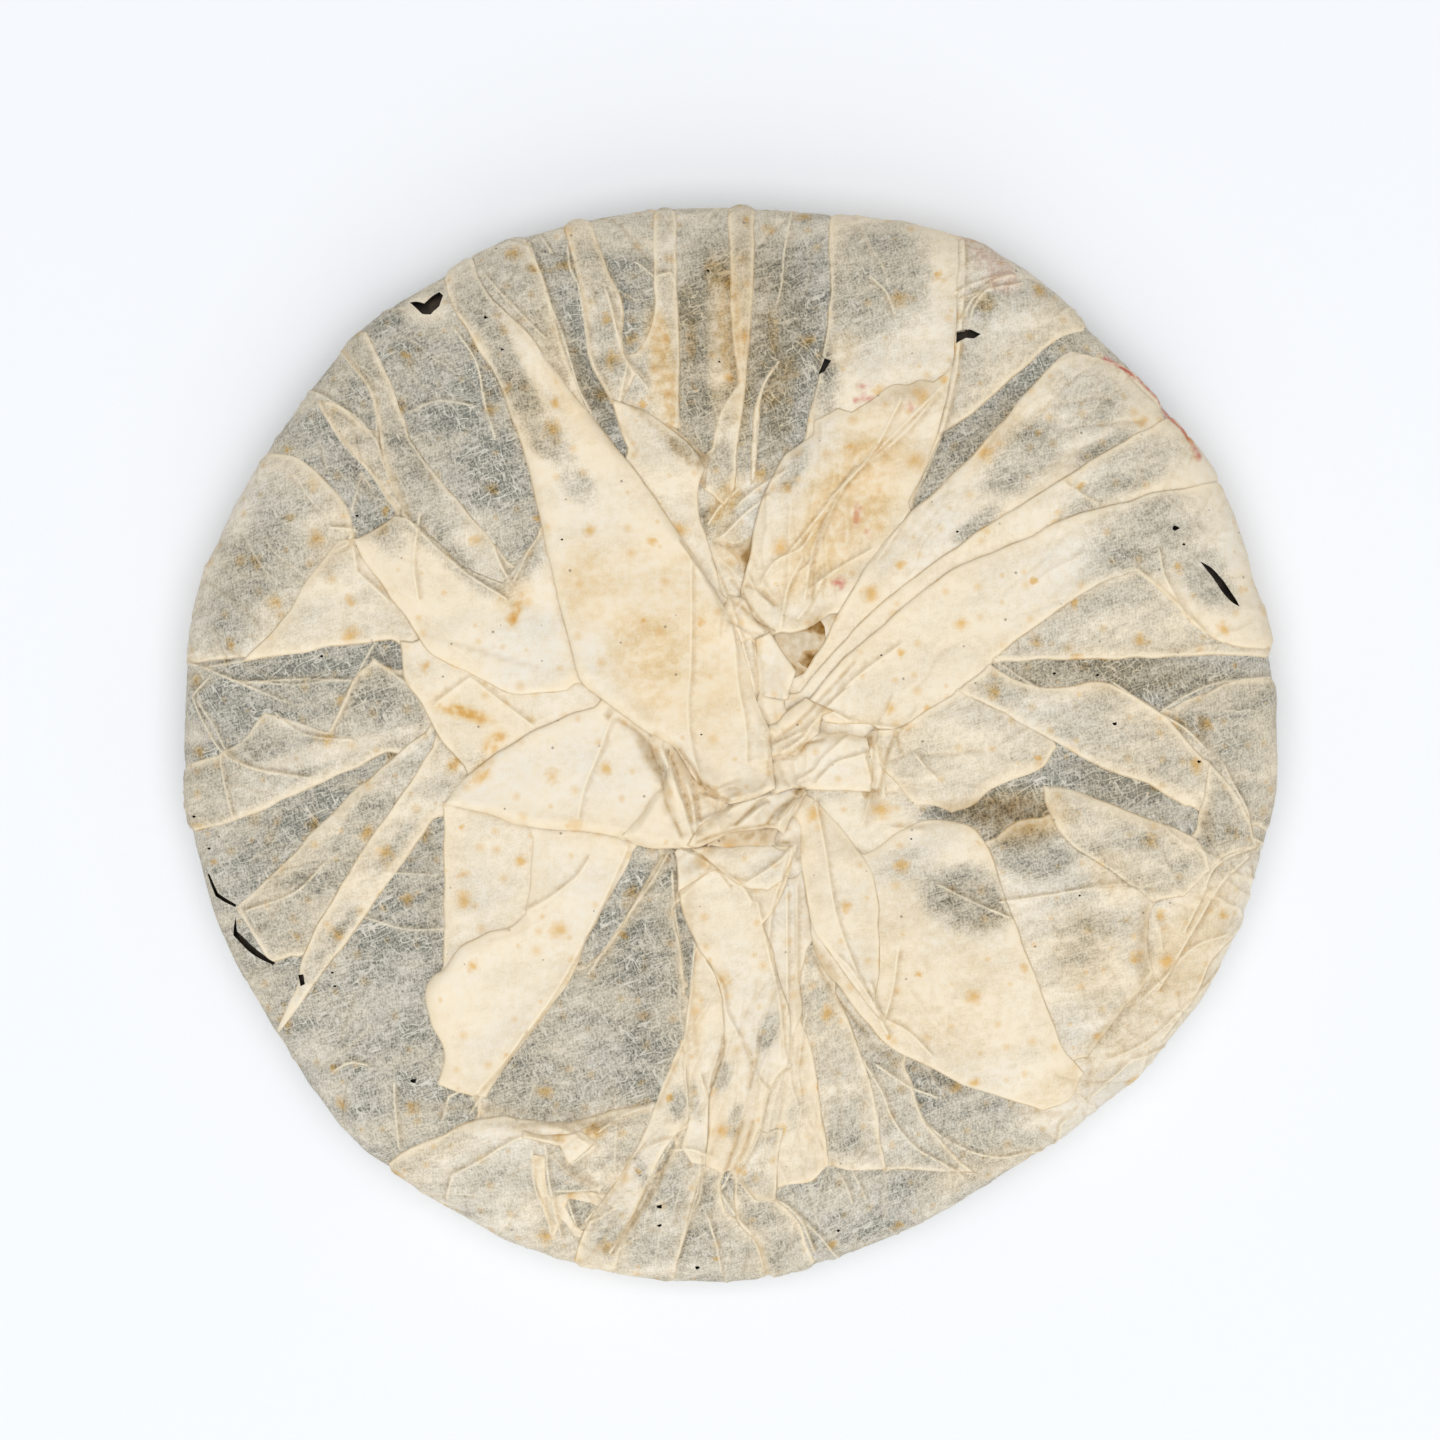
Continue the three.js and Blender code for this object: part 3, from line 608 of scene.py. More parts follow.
        (4.6, 18.6), (7.4, 20), (9.6, 16.6), (12, 12.6), (10.6, 8), (5.8, 8.3), (5.3, 12))),
    shadow("pocket_north", 0.75, 0.1, ((25, -1.3), (25.9, 1.6), (27.4, 1.8), (26.7, -1.2))),
    shadow("pocket_south", 0.8, 0.1, (
        (24.8, -9.2), (27, -9.3), (27.7, -8.7), (27.5, -10.4), (25, -11.1))),
    Fold("hollow_step", (0.2, 0.5), 270, 0.06, (
        (5.8, 8.2), (10.4, 7.6), (9.5, 4.3), (7.4, 2.8), (6.4, 5))),
    Fold("gather_scoop", (0.4, 1.8), 260, 0.05, (
        (-17, -14.5), (-14, -10), (-12.5, -8.5), (-11, -2), (-5, -8.5), (0, -11.5), (8, -9.5), (12, -9),
        (14, -10), (12, -14), (8, -16.3), (0, -17.3), (-6, -19.7), (-12, -20), (-17, -19.5),
        (-20, -17.8))),
    shadow("lip_shadow", 0.5, 0.1, ((-5, -19.6), (0, -17), (8, -16), (8.4, -19.4), (2, -19.8))),
    shadow("scoop_shadow", 0.75, 0.1, ((-8, -5.6), (-6.9, -8.3), (-3, -10.8), (-4.6, -7))),
    Fold("gather_lip", (0.5, 1.5), 250, 0.05, (
        (-6, -19.8), (0, -17.3), (8, -16.4), (10, -17.5), (12.5, -11.5), (11.5, -9.5), (8.3, -10.2),
        (3, -11.2), (-1, -13), (-5, -15.5), (-8, -19.5))),
    Fold("gather_cap", (0.4, 1.2), 90, 0.08, (
        (8, -3.5), (12, -2.5), (14.5, 0), (20, 1.3), (25.5, 0.5), (26, -2), (26.5, -6), (26, -9.5),
        (17, -9.5), (13, -9), (11.5, -9), (8.5, -10))),
    shadow("knot_shadow", 0.45, 0.1, (
        (7.4, -3.9), (12.3, -3.7), (12.9, -2.3), (15.2, 0.7), (12.5, -0.2), (10.5, -1.8), (8, -2.4))),
    Fold("knot_end", (0.4, 1.2), 250, 0.05, (
        (7.2, 2), (7.1, -1), (7.8, -3.4), (10, -2.8), (12, -2.7), (14.5, 0), (16.3, 1.2), (17.2, 4.5),
        (19.5, 5.3), (14, 8), (10.6, 5.5), (8.5, 3.2))),
    shadow("lip_fold_dark", 0.6, 0.1, ((8.6, -14.9), (9.5, -13.2), (12.3, -10.9), (10.5, -13.5))),
    shadow("knot_dark", 0.8, 0.1, (
        (11.6, -8.7), (12.5, -9.3), (14.2, -8.8), (13.3, -11), (12.8, -10.2), (12.2, -9.9))),
    Fold("great_blade", (0.4, 1.3), 285, 0.07, (
        (-54, 91), (-49, 95), (-45, 83), (-37, 75), (-31, 66.5), (-22, 55.5), (-14, 45), (-7, 34.5),
        (-1, 24.5), (1, 20.3), (3, 14.5), (4.6, 9), (6, 5), (7.2, 2), (7.6, -3), (8.5, -9), (4, -10.8),
        (0, -11.8), (-4, -10), (-7, -6.3), (-10, -1.5), (-12, -0.5), (-16, 2), (-22, 6), (-27.5, 11),
        (-30, 19), (-33, 31), (-34.7, 39), (-37.5, 50.5), (-40, 58), (-43.5, 67), (-47, 73),
        (-51.5, 81))),
)

# Creases in the topmost layer: height in mm, negative for a valley, half width in mm, and the line in plan.
CREASES = (
    (0.3, 0.7, ((-71.5, 71.5), (-68.5, 67.5), (-66.3, 64.5), (-65.5, 60), (-65, 55), (-63.5, 50),
        (-61.5, 45))),
    (0.25, 0.6, ((-51, 76), (-47, 70), (-45.3, 62), (-43.5, 56))),
    (0.35, 0.7, ((-80, 63.3), (-78, 63.7), (-75, 63.3), (-72, 61.5), (-69.5, 60), (-67.5, 58),
        (-65, 55))),
    (0.2, 0.6, ((-75.5, 62), (-73, 57), (-70.5, 53.5), (-67, 50), (-64, 45.5), (-61.5, 42))),
    (0.2, 0.6, ((-45, 85.3), (-42, 82), (-39, 79), (-34, 74))),
    (0.25, 0.6, ((12, 99), (10, 90), (9.5, 84), (8.5, 80))),
    (0.25, 0.7, ((38, 63.5), (33, 57.5), (28, 53), (24, 50), (20, 45), (17, 38), (15, 33))),
    (0.2, 0.6, ((41.5, 68), (40, 62), (39, 57), (37, 52), (35, 47), (31, 39), (27, 33))),
    (0.25, 0.6, ((-37, 91.5), (-35, 86), (-33, 80), (-31, 75), (-29.5, 70), (-28, 65), (-26, 61))),
    (0.2, 0.6, ((-37, 91.5), (-35, 93), (-33, 90))),
    (0.25, 0.6, ((-30, 91), (-29.5, 87), (-28, 84), (-27, 78), (-25.5, 70), (-22, 63))),
    (0.2, 0.6, ((-23, 83), (-21, 78), (-20, 74), (-19, 70), (-20.5, 62.5))),
    (0.2, 0.6, ((-19, 70), (-15.5, 66.5))),
    (0.2, 0.6, ((-17, 88), (-14, 85.5), (-11, 86))),
    (0.25, 0.6, ((9, 70), (6, 65), (5.2, 58), (4.5, 50))),
    (0.25, 0.6, ((42.5, 81), (46, 82.5), (48, 84), (52, 85))),
    (0.25, 0.6, ((44, 76), (45, 80), (48, 83.5))),
    (0.25, 0.6, ((79, 35), (80, 30), (82, 26), (84, 22))),
    (0.25, 0.6, ((71, 10.5), (76, 7), (80, 4.5), (84, 2), (88, -2))),
    (0.25, 0.6, ((80, 5.5), (84, 8), (90, 10.5), (99, 11.5))),
    (0.2, 0.6, ((50, 14), (57, 9.5))),
    (0.2, 0.5, ((62, 47), (67, 44))),
    (0.35, 0.7, ((91, -5), (93, -9), (95, -13), (96, -18), (98, -19))),
    (0.3, 0.7, ((97, -19.5), (92, -21.5), (89, -24), (87, -29), (84, -35))),
    (0.25, 0.6, ((50, -30), (60, -28.5), (68, -27), (73, -26.5))),
    (0.3, 0.7, ((31, -39), (30, -46), (28.5, -51.5), (33, -54), (37, -58))),
    (0.3, 0.7, ((20, -40), (22, -42), (26, -48), (28.5, -51.5))),
    (0.3, 0.7, ((70, -59), (78, -55), (85, -48), (90, -42))),
    (0.3, 0.7, ((59, -75.5), (61, -71), (67, -65.5), (74, -59), (80, -56.5))),
    (0.3, 0.7, ((95.5, -21.5), (91, -26), (86, -34), (82, -41), (79, -46))),
    (0.3, 0.7, ((96, -24), (95, -31.5), (89, -40), (86, -46), (80, -55))),
    (0.25, 0.6, ((74, -50), (80, -44), (86, -38), (91, -36))),
    (0.25, 0.6, ((36, -71), (42, -75), (50, -77), (55, -76), (60, -75.3))),
    (0.25, 0.6, ((25, -60), (28, -65), (30, -70), (34, -75), (40, -78.5), (43, -80.5))),
    (0.25, 0.6, ((27, -60), (33, -64), (38, -66))),
    (0.35, 0.8, ((75, 31.3), (80, 27), (85, 22), (88, 19))),
    (0.3, 0.7, ((-101.5, 15), (-97, 13.3), (-94, 12), (-88, 9.5), (-82, 7))),
    (0.2, 0.6, ((-97, 13.3), (-90, 14.5))),
    (0.2, 0.6, ((-84, 5), (-82, 3), (-79, 1.2), (-75, 0.3), (-70, 0))),
    (0.2, 0.6, ((-98, 7), (-95, 2), (-93, -2), (-88, -5), (-80, -6.5))),
    (0.25, 0.6, ((-66, 17.5), (-69.5, 11), (-71, 7), (-74, 1.5))),
    (0.2, 0.6, ((-66, 15), (-60, 10.5))),
    (0.3, 0.8, ((-22, 4), (-25, -4), (-27, -9), (-28, -14))),
    (0.3, 0.9, ((-37.5, -31.5), (-33, -29), (-28, -25), (-26, -22))),
    (0.25, 0.7, ((-19, -20), (-25, -33), (-32, -46), (-40, -57), (-46, -64))),
    (0.25, 0.7, ((-54, 7), (-48, 11.5), (-43.5, 8), (-37, 3))),
    (0.2, 0.6, ((-7.2, 33), (-7.3, 14), (-7.8, 5), (-7, -2), (-5.8, -6.5), (-4, -9.5))),
    (0.2, 0.6, ((-9.5, 36.5), (-4.5, 29.5), (0, 22), (1.5, 10), (2.8, 3), (3, -4))),
    (0.3, 0.7, ((-6.5, -38), (-7.5, -48), (-8.5, -55), (-12, -63), (-13.5, -67))),
    (0.3, 0.8, ((26, -45), (28, -52), (29, -54))),
    (0.25, 0.7, ((39, -27), (45, -30), (52, -33))),
    (0.25, 0.7, ((-90, 10.5), (-80, 11.2), (-70, 11))),
    (0.8, 1.1, ((-12.6, -2), (-10.6, -7), (-8.8, -12), (-7.2, -17.5))),
    (-0.7, 0.8, ((-11.4, -2), (-9.4, -7), (-8.3, -10.5), (-7.2, -15))),
    (-0.5, 0.8, ((-14.2, -2), (-13, -5), (-12.3, -9), (-11.2, -13), (-9, -17.5))),
    (0.6, 1, ((-12.8, -8), (-11.6, -12), (-9.5, -17.5))),
    (0.7, 0.9, ((-7.9, -8), (-7.1, -11), (-6.3, -17.5))),
    (-0.6, 0.7, ((-6.4, -8), (-6, -11), (-5.7, -14.5))),
    (-0.6, 0.8, ((-9.5, -1.8), (-6.4, -6), (-4.2, -9.4), (-0.5, -11.1))),
    (-0.5, 0.8, ((-20.5, 3.8), (-16.4, 1), (-14, -2))),
    (0.5, 0.9, ((-5, -15), (3, -11.5), (8, -10.3))),
    (0.5, 0.9, ((-3, -18.5), (2, -15), (7, -11.8))),
    (-0.6, 0.8, ((1.1, -15.5), (3.5, -13.2), (6.2, -10.9))),
    (-0.8, 0.9, ((6.6, -16), (8, -13.8), (10, -12), (12, -10.6))),
    (-0.5, 0.8, ((-6, -18.8), (-2, -17.4), (3.3, -16.2), (8, -15.6))),
    (0.5, 0.9, ((9, -15.5), (11, -12.5), (12.5, -10))),
    (0.3, 0.7, ((-4, -24), (3, -26.5), (9, -22.5), (11.5, -20))),
    (0.3, 0.7, ((5, -30), (7, -39), (9, -48), (10, -58))),
    (0.3, 0.7, ((12, -20), (8, -30), (7, -38))),
    (0.25, 0.7, ((15.8, -11), (17.5, -20), (19.5, -32), (23, -42), (26, -48))),
    (0.2, 0.6, ((-92, 11), (-80, 10.2), (-74, 11))),
    (0.3, 0.7, ((-96, 11.5), (-99, 8), (-97, 3), (-94, -2), (-90, -4.5), (-85, -6), (-78, -7))),
    (0.25, 0.6, ((-94, -3), (-93, -8), (-91.5, -14.5))),
    (0.25, 0.6, ((-89, -31.5), (-80, -28), (-75, -23))),
    (0.2, 0.6, ((-67, -33), (-60, -35), (-53, -35))),
    (0.2, 0.6, ((-64, -24.5), (-55, -25))),
    (0.35, 0.7, ((-52, -84), (-51, -80), (-46, -77.5), (-42, -75), (-38, -73), (-34, -73.5), (-31, -74))),
    (0.35, 0.7, ((-34, -75), (-33.5, -80), (-32.5, -85), (-31, -91))),
    (0.35, 0.7, ((-36.5, -76), (-36, -82), (-34, -87), (-33, -90))),
    (0.35, 0.7, ((-35, -71), (-30, -72), (-25, -75), (-29, -78), (-31, -76))),
    (0.35, 0.7, ((-33, -76.5), (-30, -79.5), (-24, -82.7), (-32, -83))),
    (0.3, 0.7, ((-30, -84), (-28, -90), (-21, -86), (-24, -83.5))),
    (-0.4, 0.8, ((-15, -82), (-18, -88), (-21, -92.5))),
    (-0.4, 0.8, ((-18.5, -77), (-20, -82))),
    (0.3, 0.7, ((-62, -64), (-61, -75))),
    (0.25, 0.6, ((-53, -70), (-52, -66), (-50, -65))),
    (0.25, 0.6, ((-48, -69), (-46, -66))),
    (0.25, 0.6, ((-73, -61), (-70, -59.5), (-67, -60))),
    (0.3, 0.6, ((-38, -54), (-42, -60), (-47.5, -66))),
    (0.3, 0.7, ((-10, -30), (-4, -24.5), (-2.8, -23.3), (2, -27), (4, -30))),
    (0.3, 0.6, ((10.5, -28), (10.5, -50))),
    (0.3, 0.6, ((12.3, -27), (12.3, -45))),
    (-0.4, 0.8, ((2.5, -56), (4, -60), (3.5, -64))),
    (0.4, 0.8, ((-8, -70), (-13, -78), (-17, -86), (-22, -94))),
    (-0.4, 0.8, ((-11, -76), (-14, -83), (-18, -89))),
    (0.4, 0.7, ((-5.5, -77), (-6, -83), (-8, -89), (-10, -96))),
    (0.4, 0.7, ((0, -80), (-1.8, -83.5), (0.5, -87), (4.5, -92), (6.8, -98))),
    (0.4, 0.7, ((0.5, -79.8), (4.5, -84.8), (8.5, -85), (12.5, -88), (15.5, -94))),
    (0.3, 0.6, ((-11.5, -21), (-14, -25.5), (-20, -34), (-26, -43))),
    (0.3, 0.6, ((-10.7, -25), (-10.2, -32), (-9, -40), (-8.6, -46.5))),
    (0.25, 0.6, ((2, 44), (5, 46.5), (10, 49.5))),
    (-0.3, 0.7, ((-2.5, 36.5), (0, 36), (3, 36.5), (2.2, 32.5))),
    (0.3, 0.6, ((-4, 40), (-2, 43), (1, 46))),
    (0.25, 0.6, ((-1, 38), (3, 42), (7, 45))),
    (-0.35, 0.7, ((30.5, 1.8), (31.2, -0.5), (32, -3))),
    (-0.5, 0.8, ((2.3, 24.6), (4.5, 22.4), (7.3, 20.3))),
    (0.25, 0.6, ((-3.5, 33), (0.5, 24), (3.4, 14), (5, 7.5), (6.7, 2.5))),
    (0.3, 0.7, ((6, 29.5), (8.5, 33), (13, 35.3), (15, 38))),
    (0.3, 0.7, ((13, 31), (16, 34), (17, 37))),
    (0.3, 0.7, ((15, 28), (19, 31), (26, 35))),
    (-0.35, 0.7, ((3, 28.6), (6, 27.5), (8.5, 25.2))),
    (0.3, 0.6, ((26.2, -1), (26.3, -8))),
    (0.25, 0.6, ((34.5, -3), (36.5, -5.5), (38, -7))),
    (0.3, 0.6, ((12.6, -7.5), (15.8, -5.6), (17, -3.7), (21.5, 0.4))),
    (0.3, 0.6, ((16.4, -7.5), (19.6, -4.3), (23.4, -3.1), (25.4, -2.4))),
    (-0.5, 0.7, ((8.1, -3.7), (10.7, -3.1), (13.2, -1.1), (17, 0.1))),
    (0.35, 0.7, ((16.4, 4.6), (19, 5.2), (22.8, 3.3), (31.4, 2))),
    (0.3, 0.6, ((8.1, -1.1), (15.1, 2.7), (22.8, 11), (31.4, 17.4))),
    (0.3, 0.6, ((9.4, -2.4), (13.2, 0.1), (17, 5.2), (21.5, 9.1))),
    (-0.35, 0.6, ((8.4, 0.1), (12.6, 3.3), (17, 7.8), (22.8, 14.2))),
    (0.35, 0.7, ((3, 30.8), (5.2, 26.9), (7.8, 25))),
    (-0.45, 0.7, ((0.4, 29.5), (2.4, 26.9), (4.3, 23.8), (6.8, 20.9))),
    (-0.5, 0.7, ((6.2, 27.6), (8.1, 25))),
    (0.35, 0.7, ((13.2, 33.3), (10.7, 28.2), (10, 25), (9.4, 21.2))),
    (0.35, 0.7, ((17, 29.5), (14.5, 25), (12.6, 22.5))),
    (0.35, 0.6, ((0.4, 21.2), (3.6, 19.3), (5.2, 14.2), (5.6, 8.4))),
    (-0.35, 0.6, ((4.3, 18), (5, 12.3), (5.2, 8.4))),
    (0.3, 0.6, ((-10.4, -19.7), (-4, -22.9), (-0.2, -27.3))),
    (0.3, 0.6, ((24.7, -2.4), (26, -8.8), (24.7, -15.2))),
    (0.3, 0.6, ((26.3, 1.4), (27.9, -5), (28.5, -10.1))),
    (-0.4, 0.6, ((30.8, 1.4), (29.2, -2.4), (27.6, -10.1))),
    (0.4, 0.7, ((-4.5, -41), (-1.6, -45.5), (-0.8, -50), (1.5, -54.5), (3.2, -57.5), (4, -60),
        (3.5, -63))),
    (0.4, 0.7, ((4, -60), (5.2, -62.5), (7, -64.5), (6.2, -68), (5.3, -72), (3.8, -75.5), (2.5, -78))),
    (0.35, 0.7, ((11, -60), (9, -61.5), (7.3, -64.5))),
    (-0.5, 0.8, ((2.3, -70.5), (0.6, -75.5), (-0.8, -79.5))),
    (-0.45, 0.8, ((4.2, -70.5), (2.6, -75.5), (0.8, -79))),
    (0.35, 0.6, ((-2.3, -58), (-3.6, -62), (-4.2, -66.5), (-4.4, -74))),
    (-0.45, 0.8, ((-1, -55.5), (-2.2, -60.5), (-3.5, -64))),
    (0.35, 0.7, ((-14.5, -74.8), (-12, -74), (-9.5, -73.5), (-8, -71))),
    (0.3, 0.6, ((-11.5, -76), (-7, -75.5), (-3.5, -76.8))),
    (0.35, 0.6, ((-5, -79.5), (-5.5, -84), (-7.5, -88.5), (-9.6, -95))),
    (0.35, 0.6, ((12, -87), (13.5, -89), (15.5, -94))),
    (0.25, 0.6, ((13.5, -88.5), (17, -92), (20, -95))),
    (0.25, 0.6, ((20, -80), (21.5, -82.5), (22.5, -85.5))),
    (0.25, 0.6, ((22.5, -79.5), (25, -84.5))),
    (-0.4, 0.8, ((15.5, -40), (17.5, -44), (20, -48), (25, -54))),
    (0.3, 0.6, ((-8.2, -55), (-8.2, -62), (-7.6, -68.5))),
    (0.3, 0.6, ((-5.5, -62), (-4.2, -66.5))),
    (0.3, 0.6, ((-13.5, -67.2), (-20, -69.2), (-24, -72))),
    (0.3, 0.6, ((-16, -74), (-19, -78), (-22, -83), (-27, -89))),
    (-0.4, 0.8, ((-13.5, -81), (-16, -86), (-20.5, -93))),
    (0.25, 0.6, ((-4, -88), (-2.5, -93), (-1.5, -98))),
    (0.3, 0.6, ((-57.2, 41.4), (-58.4, 32.8), (-57.6, 26.1))),
    (0.3, 0.6, ((-59.9, 41.4), (-57.2, 38.3), (-49.3, 31.2), (-41.4, 26.1))),
    (0.3, 0.6, ((-43.8, 35.9), (-42.6, 32.8), (-40.2, 28.4))),
    (0.3, 0.6, ((-35.1, 38.3), (-37.5, 34.4), (-40.2, 28.8))),
    (0.3, 0.6, ((-69.4, 35.1), (-69, 31.2), (-63.5, 26.1))),
    (0.25, 0.6, ((-66.6, 47), (-68.2, 49.3), (-69.8, 43))),
    (0.35, 0.7, ((-73.3, 39.1), (-69.4, 38.9), (-70.6, 35.9), (-72.1, 35.1))),
    (0.2, 0.6, ((-58.7, 60.8), (-54, 62.7), (-47.7, 61.9))),
    (0.3, 0.6, ((30.3, 78.5), (28.7, 82.4), (26.4, 84.8))),
    (0.3, 0.6, ((41.7, 92.7), (41.7, 69), (39, 56.4), (35.8, 48.5))),
    (0.3, 0.6, ((42.1, 82.4), (45.3, 84), (51.6, 85.2))),
    (0.3, 0.6, ((42.9, 77.7), (44.5, 80.9), (46.8, 82.4), (53.5, 83.6))),
    (0.3, 0.6, ((38.2, 64.3), (31.1, 57.2), (23.2, 49.3), (18.5, 44.6))),
    (0.3, 0.6, ((11.4, 35.1), (17.7, 43), (23.2, 50.1))),
    (0.3, 0.6, ((31.1, 61.9), (26.4, 53.3), (20.1, 45.4), (15.3, 35.1), (13.8, 26.1))),
    (-0.35, 0.7, ((20.1, 45.4), (16.9, 39.9), (15.7, 34.4), (15.3, 26.1))),
    (0.25, 0.6, ((-22.5, 81.6), (-19.3, 70.6), (-15.4, 65.1))),
)

# Seeded wrinkles: how many, the middle and the radius of their zone, length from and to, scatter of their
# heading about the way to the knot in degrees, and height.
WRINKLES = (
    (26, (-2, 78), 22, (8, 24), 8, 0.14),
    (16, (-35, 78), 14, (8, 20), 8, 0.14),
    (18, (24, 42), 16, (8, 22), 9, 0.22),
    (10, (30, 80), 14, (8, 18), 14, 0.14),
    (20, (55, 45), 20, (10, 28), 6, 0.16),
    (14, (70, 64), 14, (6, 14), 25, 0.18),
    (12, (86, 38), 12, (6, 14), 40, 0.18),
    (14, (62, 0), 20, (8, 20), 12, 0.18),
    (14, (78, -22), 14, (6, 18), 40, 0.22),
    (12, (70, -45), 12, (8, 18), 25, 0.16),
    (8, (40, -45), 14, (8, 16), 15, 0.12),
    (42, (3, -62), 15, (8, 26), 8, 0.30),
    (34, (-22, -83), 17, (5, 14), 45, 0.36),
    (24, (16, -78), 14, (6, 18), 18, 0.25),
    (16, (42, -78), 16, (6, 16), 30, 0.16),
    (12, (-30, -40), 14, (6, 16), 10, 0.14),
    (14, (-72, -22), 18, (8, 22), 8, 0.16),
    (16, (-84, 4), 14, (5, 14), 25, 0.14),
    (10, (-58, 30), 16, (8, 20), 10, 0.12),
    (16, (-62, 55), 16, (8, 22), 8, 0.16),
    (16, (10, -2), 9, (3, 8), 30, 0.30),
    (18, (-4, -14), 7, (3, 8), 30, 0.40),
    (14, (6, 28), 9, (4, 10), 30, 0.35),
    (12, (35, -6), 10, (4, 10), 25, 0.30),
)

# Those round the rim: how many, their ways from the middle of the back from and to, and as above.
RIM_WRINKLES = (190, (88.0, 120.0), (5.0, 16.0), 26.0, 0.30)

# Tears through every layer, as loops in plan.
TEARS = (
    ((-59, 80.6), (-57.8, 80.8), (-56.4, 80.5), (-55.2, 81.6), (-53.6, 82.6), (-52.9, 82), (-53.6, 80),
     (-55.2, 78.5), (-56.8, 78.6)),
    ((86.4, 32.9), (88.6, 31.6), (90.8, 29), (92.8, 26), (93.3, 24.4), (92, 25.4), (90, 27.9), (88.2, 30.6)),
    ((-96.4, -24.6), (-95.9, -24.8), (-94.4, -28.2), (-91.2, -30.4), (-91.3, -30.9), (-94.8, -28.8)),
    ((-91.2, -32.6), (-90.8, -35.3), (-87.7, -38.3), (-84, -41.2), (-84.4, -41.6), (-88.4, -39.2),
     (-91.5, -36)),
    ((-79.8, -43.4), (-78.7, -43.2), (-78.3, -45), (-79.2, -45.4)),
    ((41.7, 75.2), (43, 75.5), (44.4, 75.6), (46.2, 74.8), (45, 74), (43.4, 74), (41.6, 73)),
    ((16.3, 67.5), (17.5, 70.6), (18.7, 70.1), (17.5, 68.1)),
)

# Small round holes: places in plan and widths.
SPECKS = (
    (-69, 41.5, 0.56), (-42, 72, 0.5), (-45, 77.8, 0.62), (-2, 70, 0.43), (-4, 86.7, 0.5),
    (-13, -86, 0.93), (-13, -89.5, 0.74), (-6, -97, 0.74), (20, -90.5, 0.56), (-73.5, -43, 0.5),
    (-73, -45.5, 0.5), (-86, -52, 0.62), (71, 3, 0.74), (86.5, -4, 0.68), (82, 39, 1.1), (-5.3, 1, 0.37),
    (28, 15.7, 0.37), (33.5, -18.3, 0.37), (-31, 37, 0.43), (60, 12.3, 0.56), (68, 12, 0.56),
    (42, 38.5, 0.5), (83.5, 36, 0.56), (-75.5, 15.5, 0.56), (-58.5, -63, 0.99), (-96, -20, 0.56),
    (-98, -14, 0.56), (64.5, -28.7, 0.43),
)

# Colour of the front's print that comes round the rim: strength, half width, and the line in plan.
PRINT = (
    (0.85, 0.5, ((69.5, 70.3), (75, 66.3), (80, 60.7), (84.6, 54.4), (86, 51.5))),
    (0.70, 0.5, ((91.8, 42.7), (93, 40))),
    (0.30, 0.6, ((96.6, 29), (97.4, 25))),
    (0.16, 4.0, ((42, 93), (50, 85))),
    (0.16, 4.0, ((45, -85), (60, -77))),
    (0.60, 0.25, ((23.6, 65.6), (25.4, 65))),
    (0.60, 0.25, ((23, 62.6), (24.4, 63.4), (26, 62.8))),
    (0.50, 0.3, ((32.6, 61.6), (33.4, 60.8))),
    (0.70, 0.4, ((19.2, 28.8), (20.4, 29.6), (20.6, 28.4))),
    (0.40, 0.5, ((23.6, 43), (23.2, 40.2))),
    (0.50, 0.2, ((25.4, 38.6), (26, 37.8))),
)

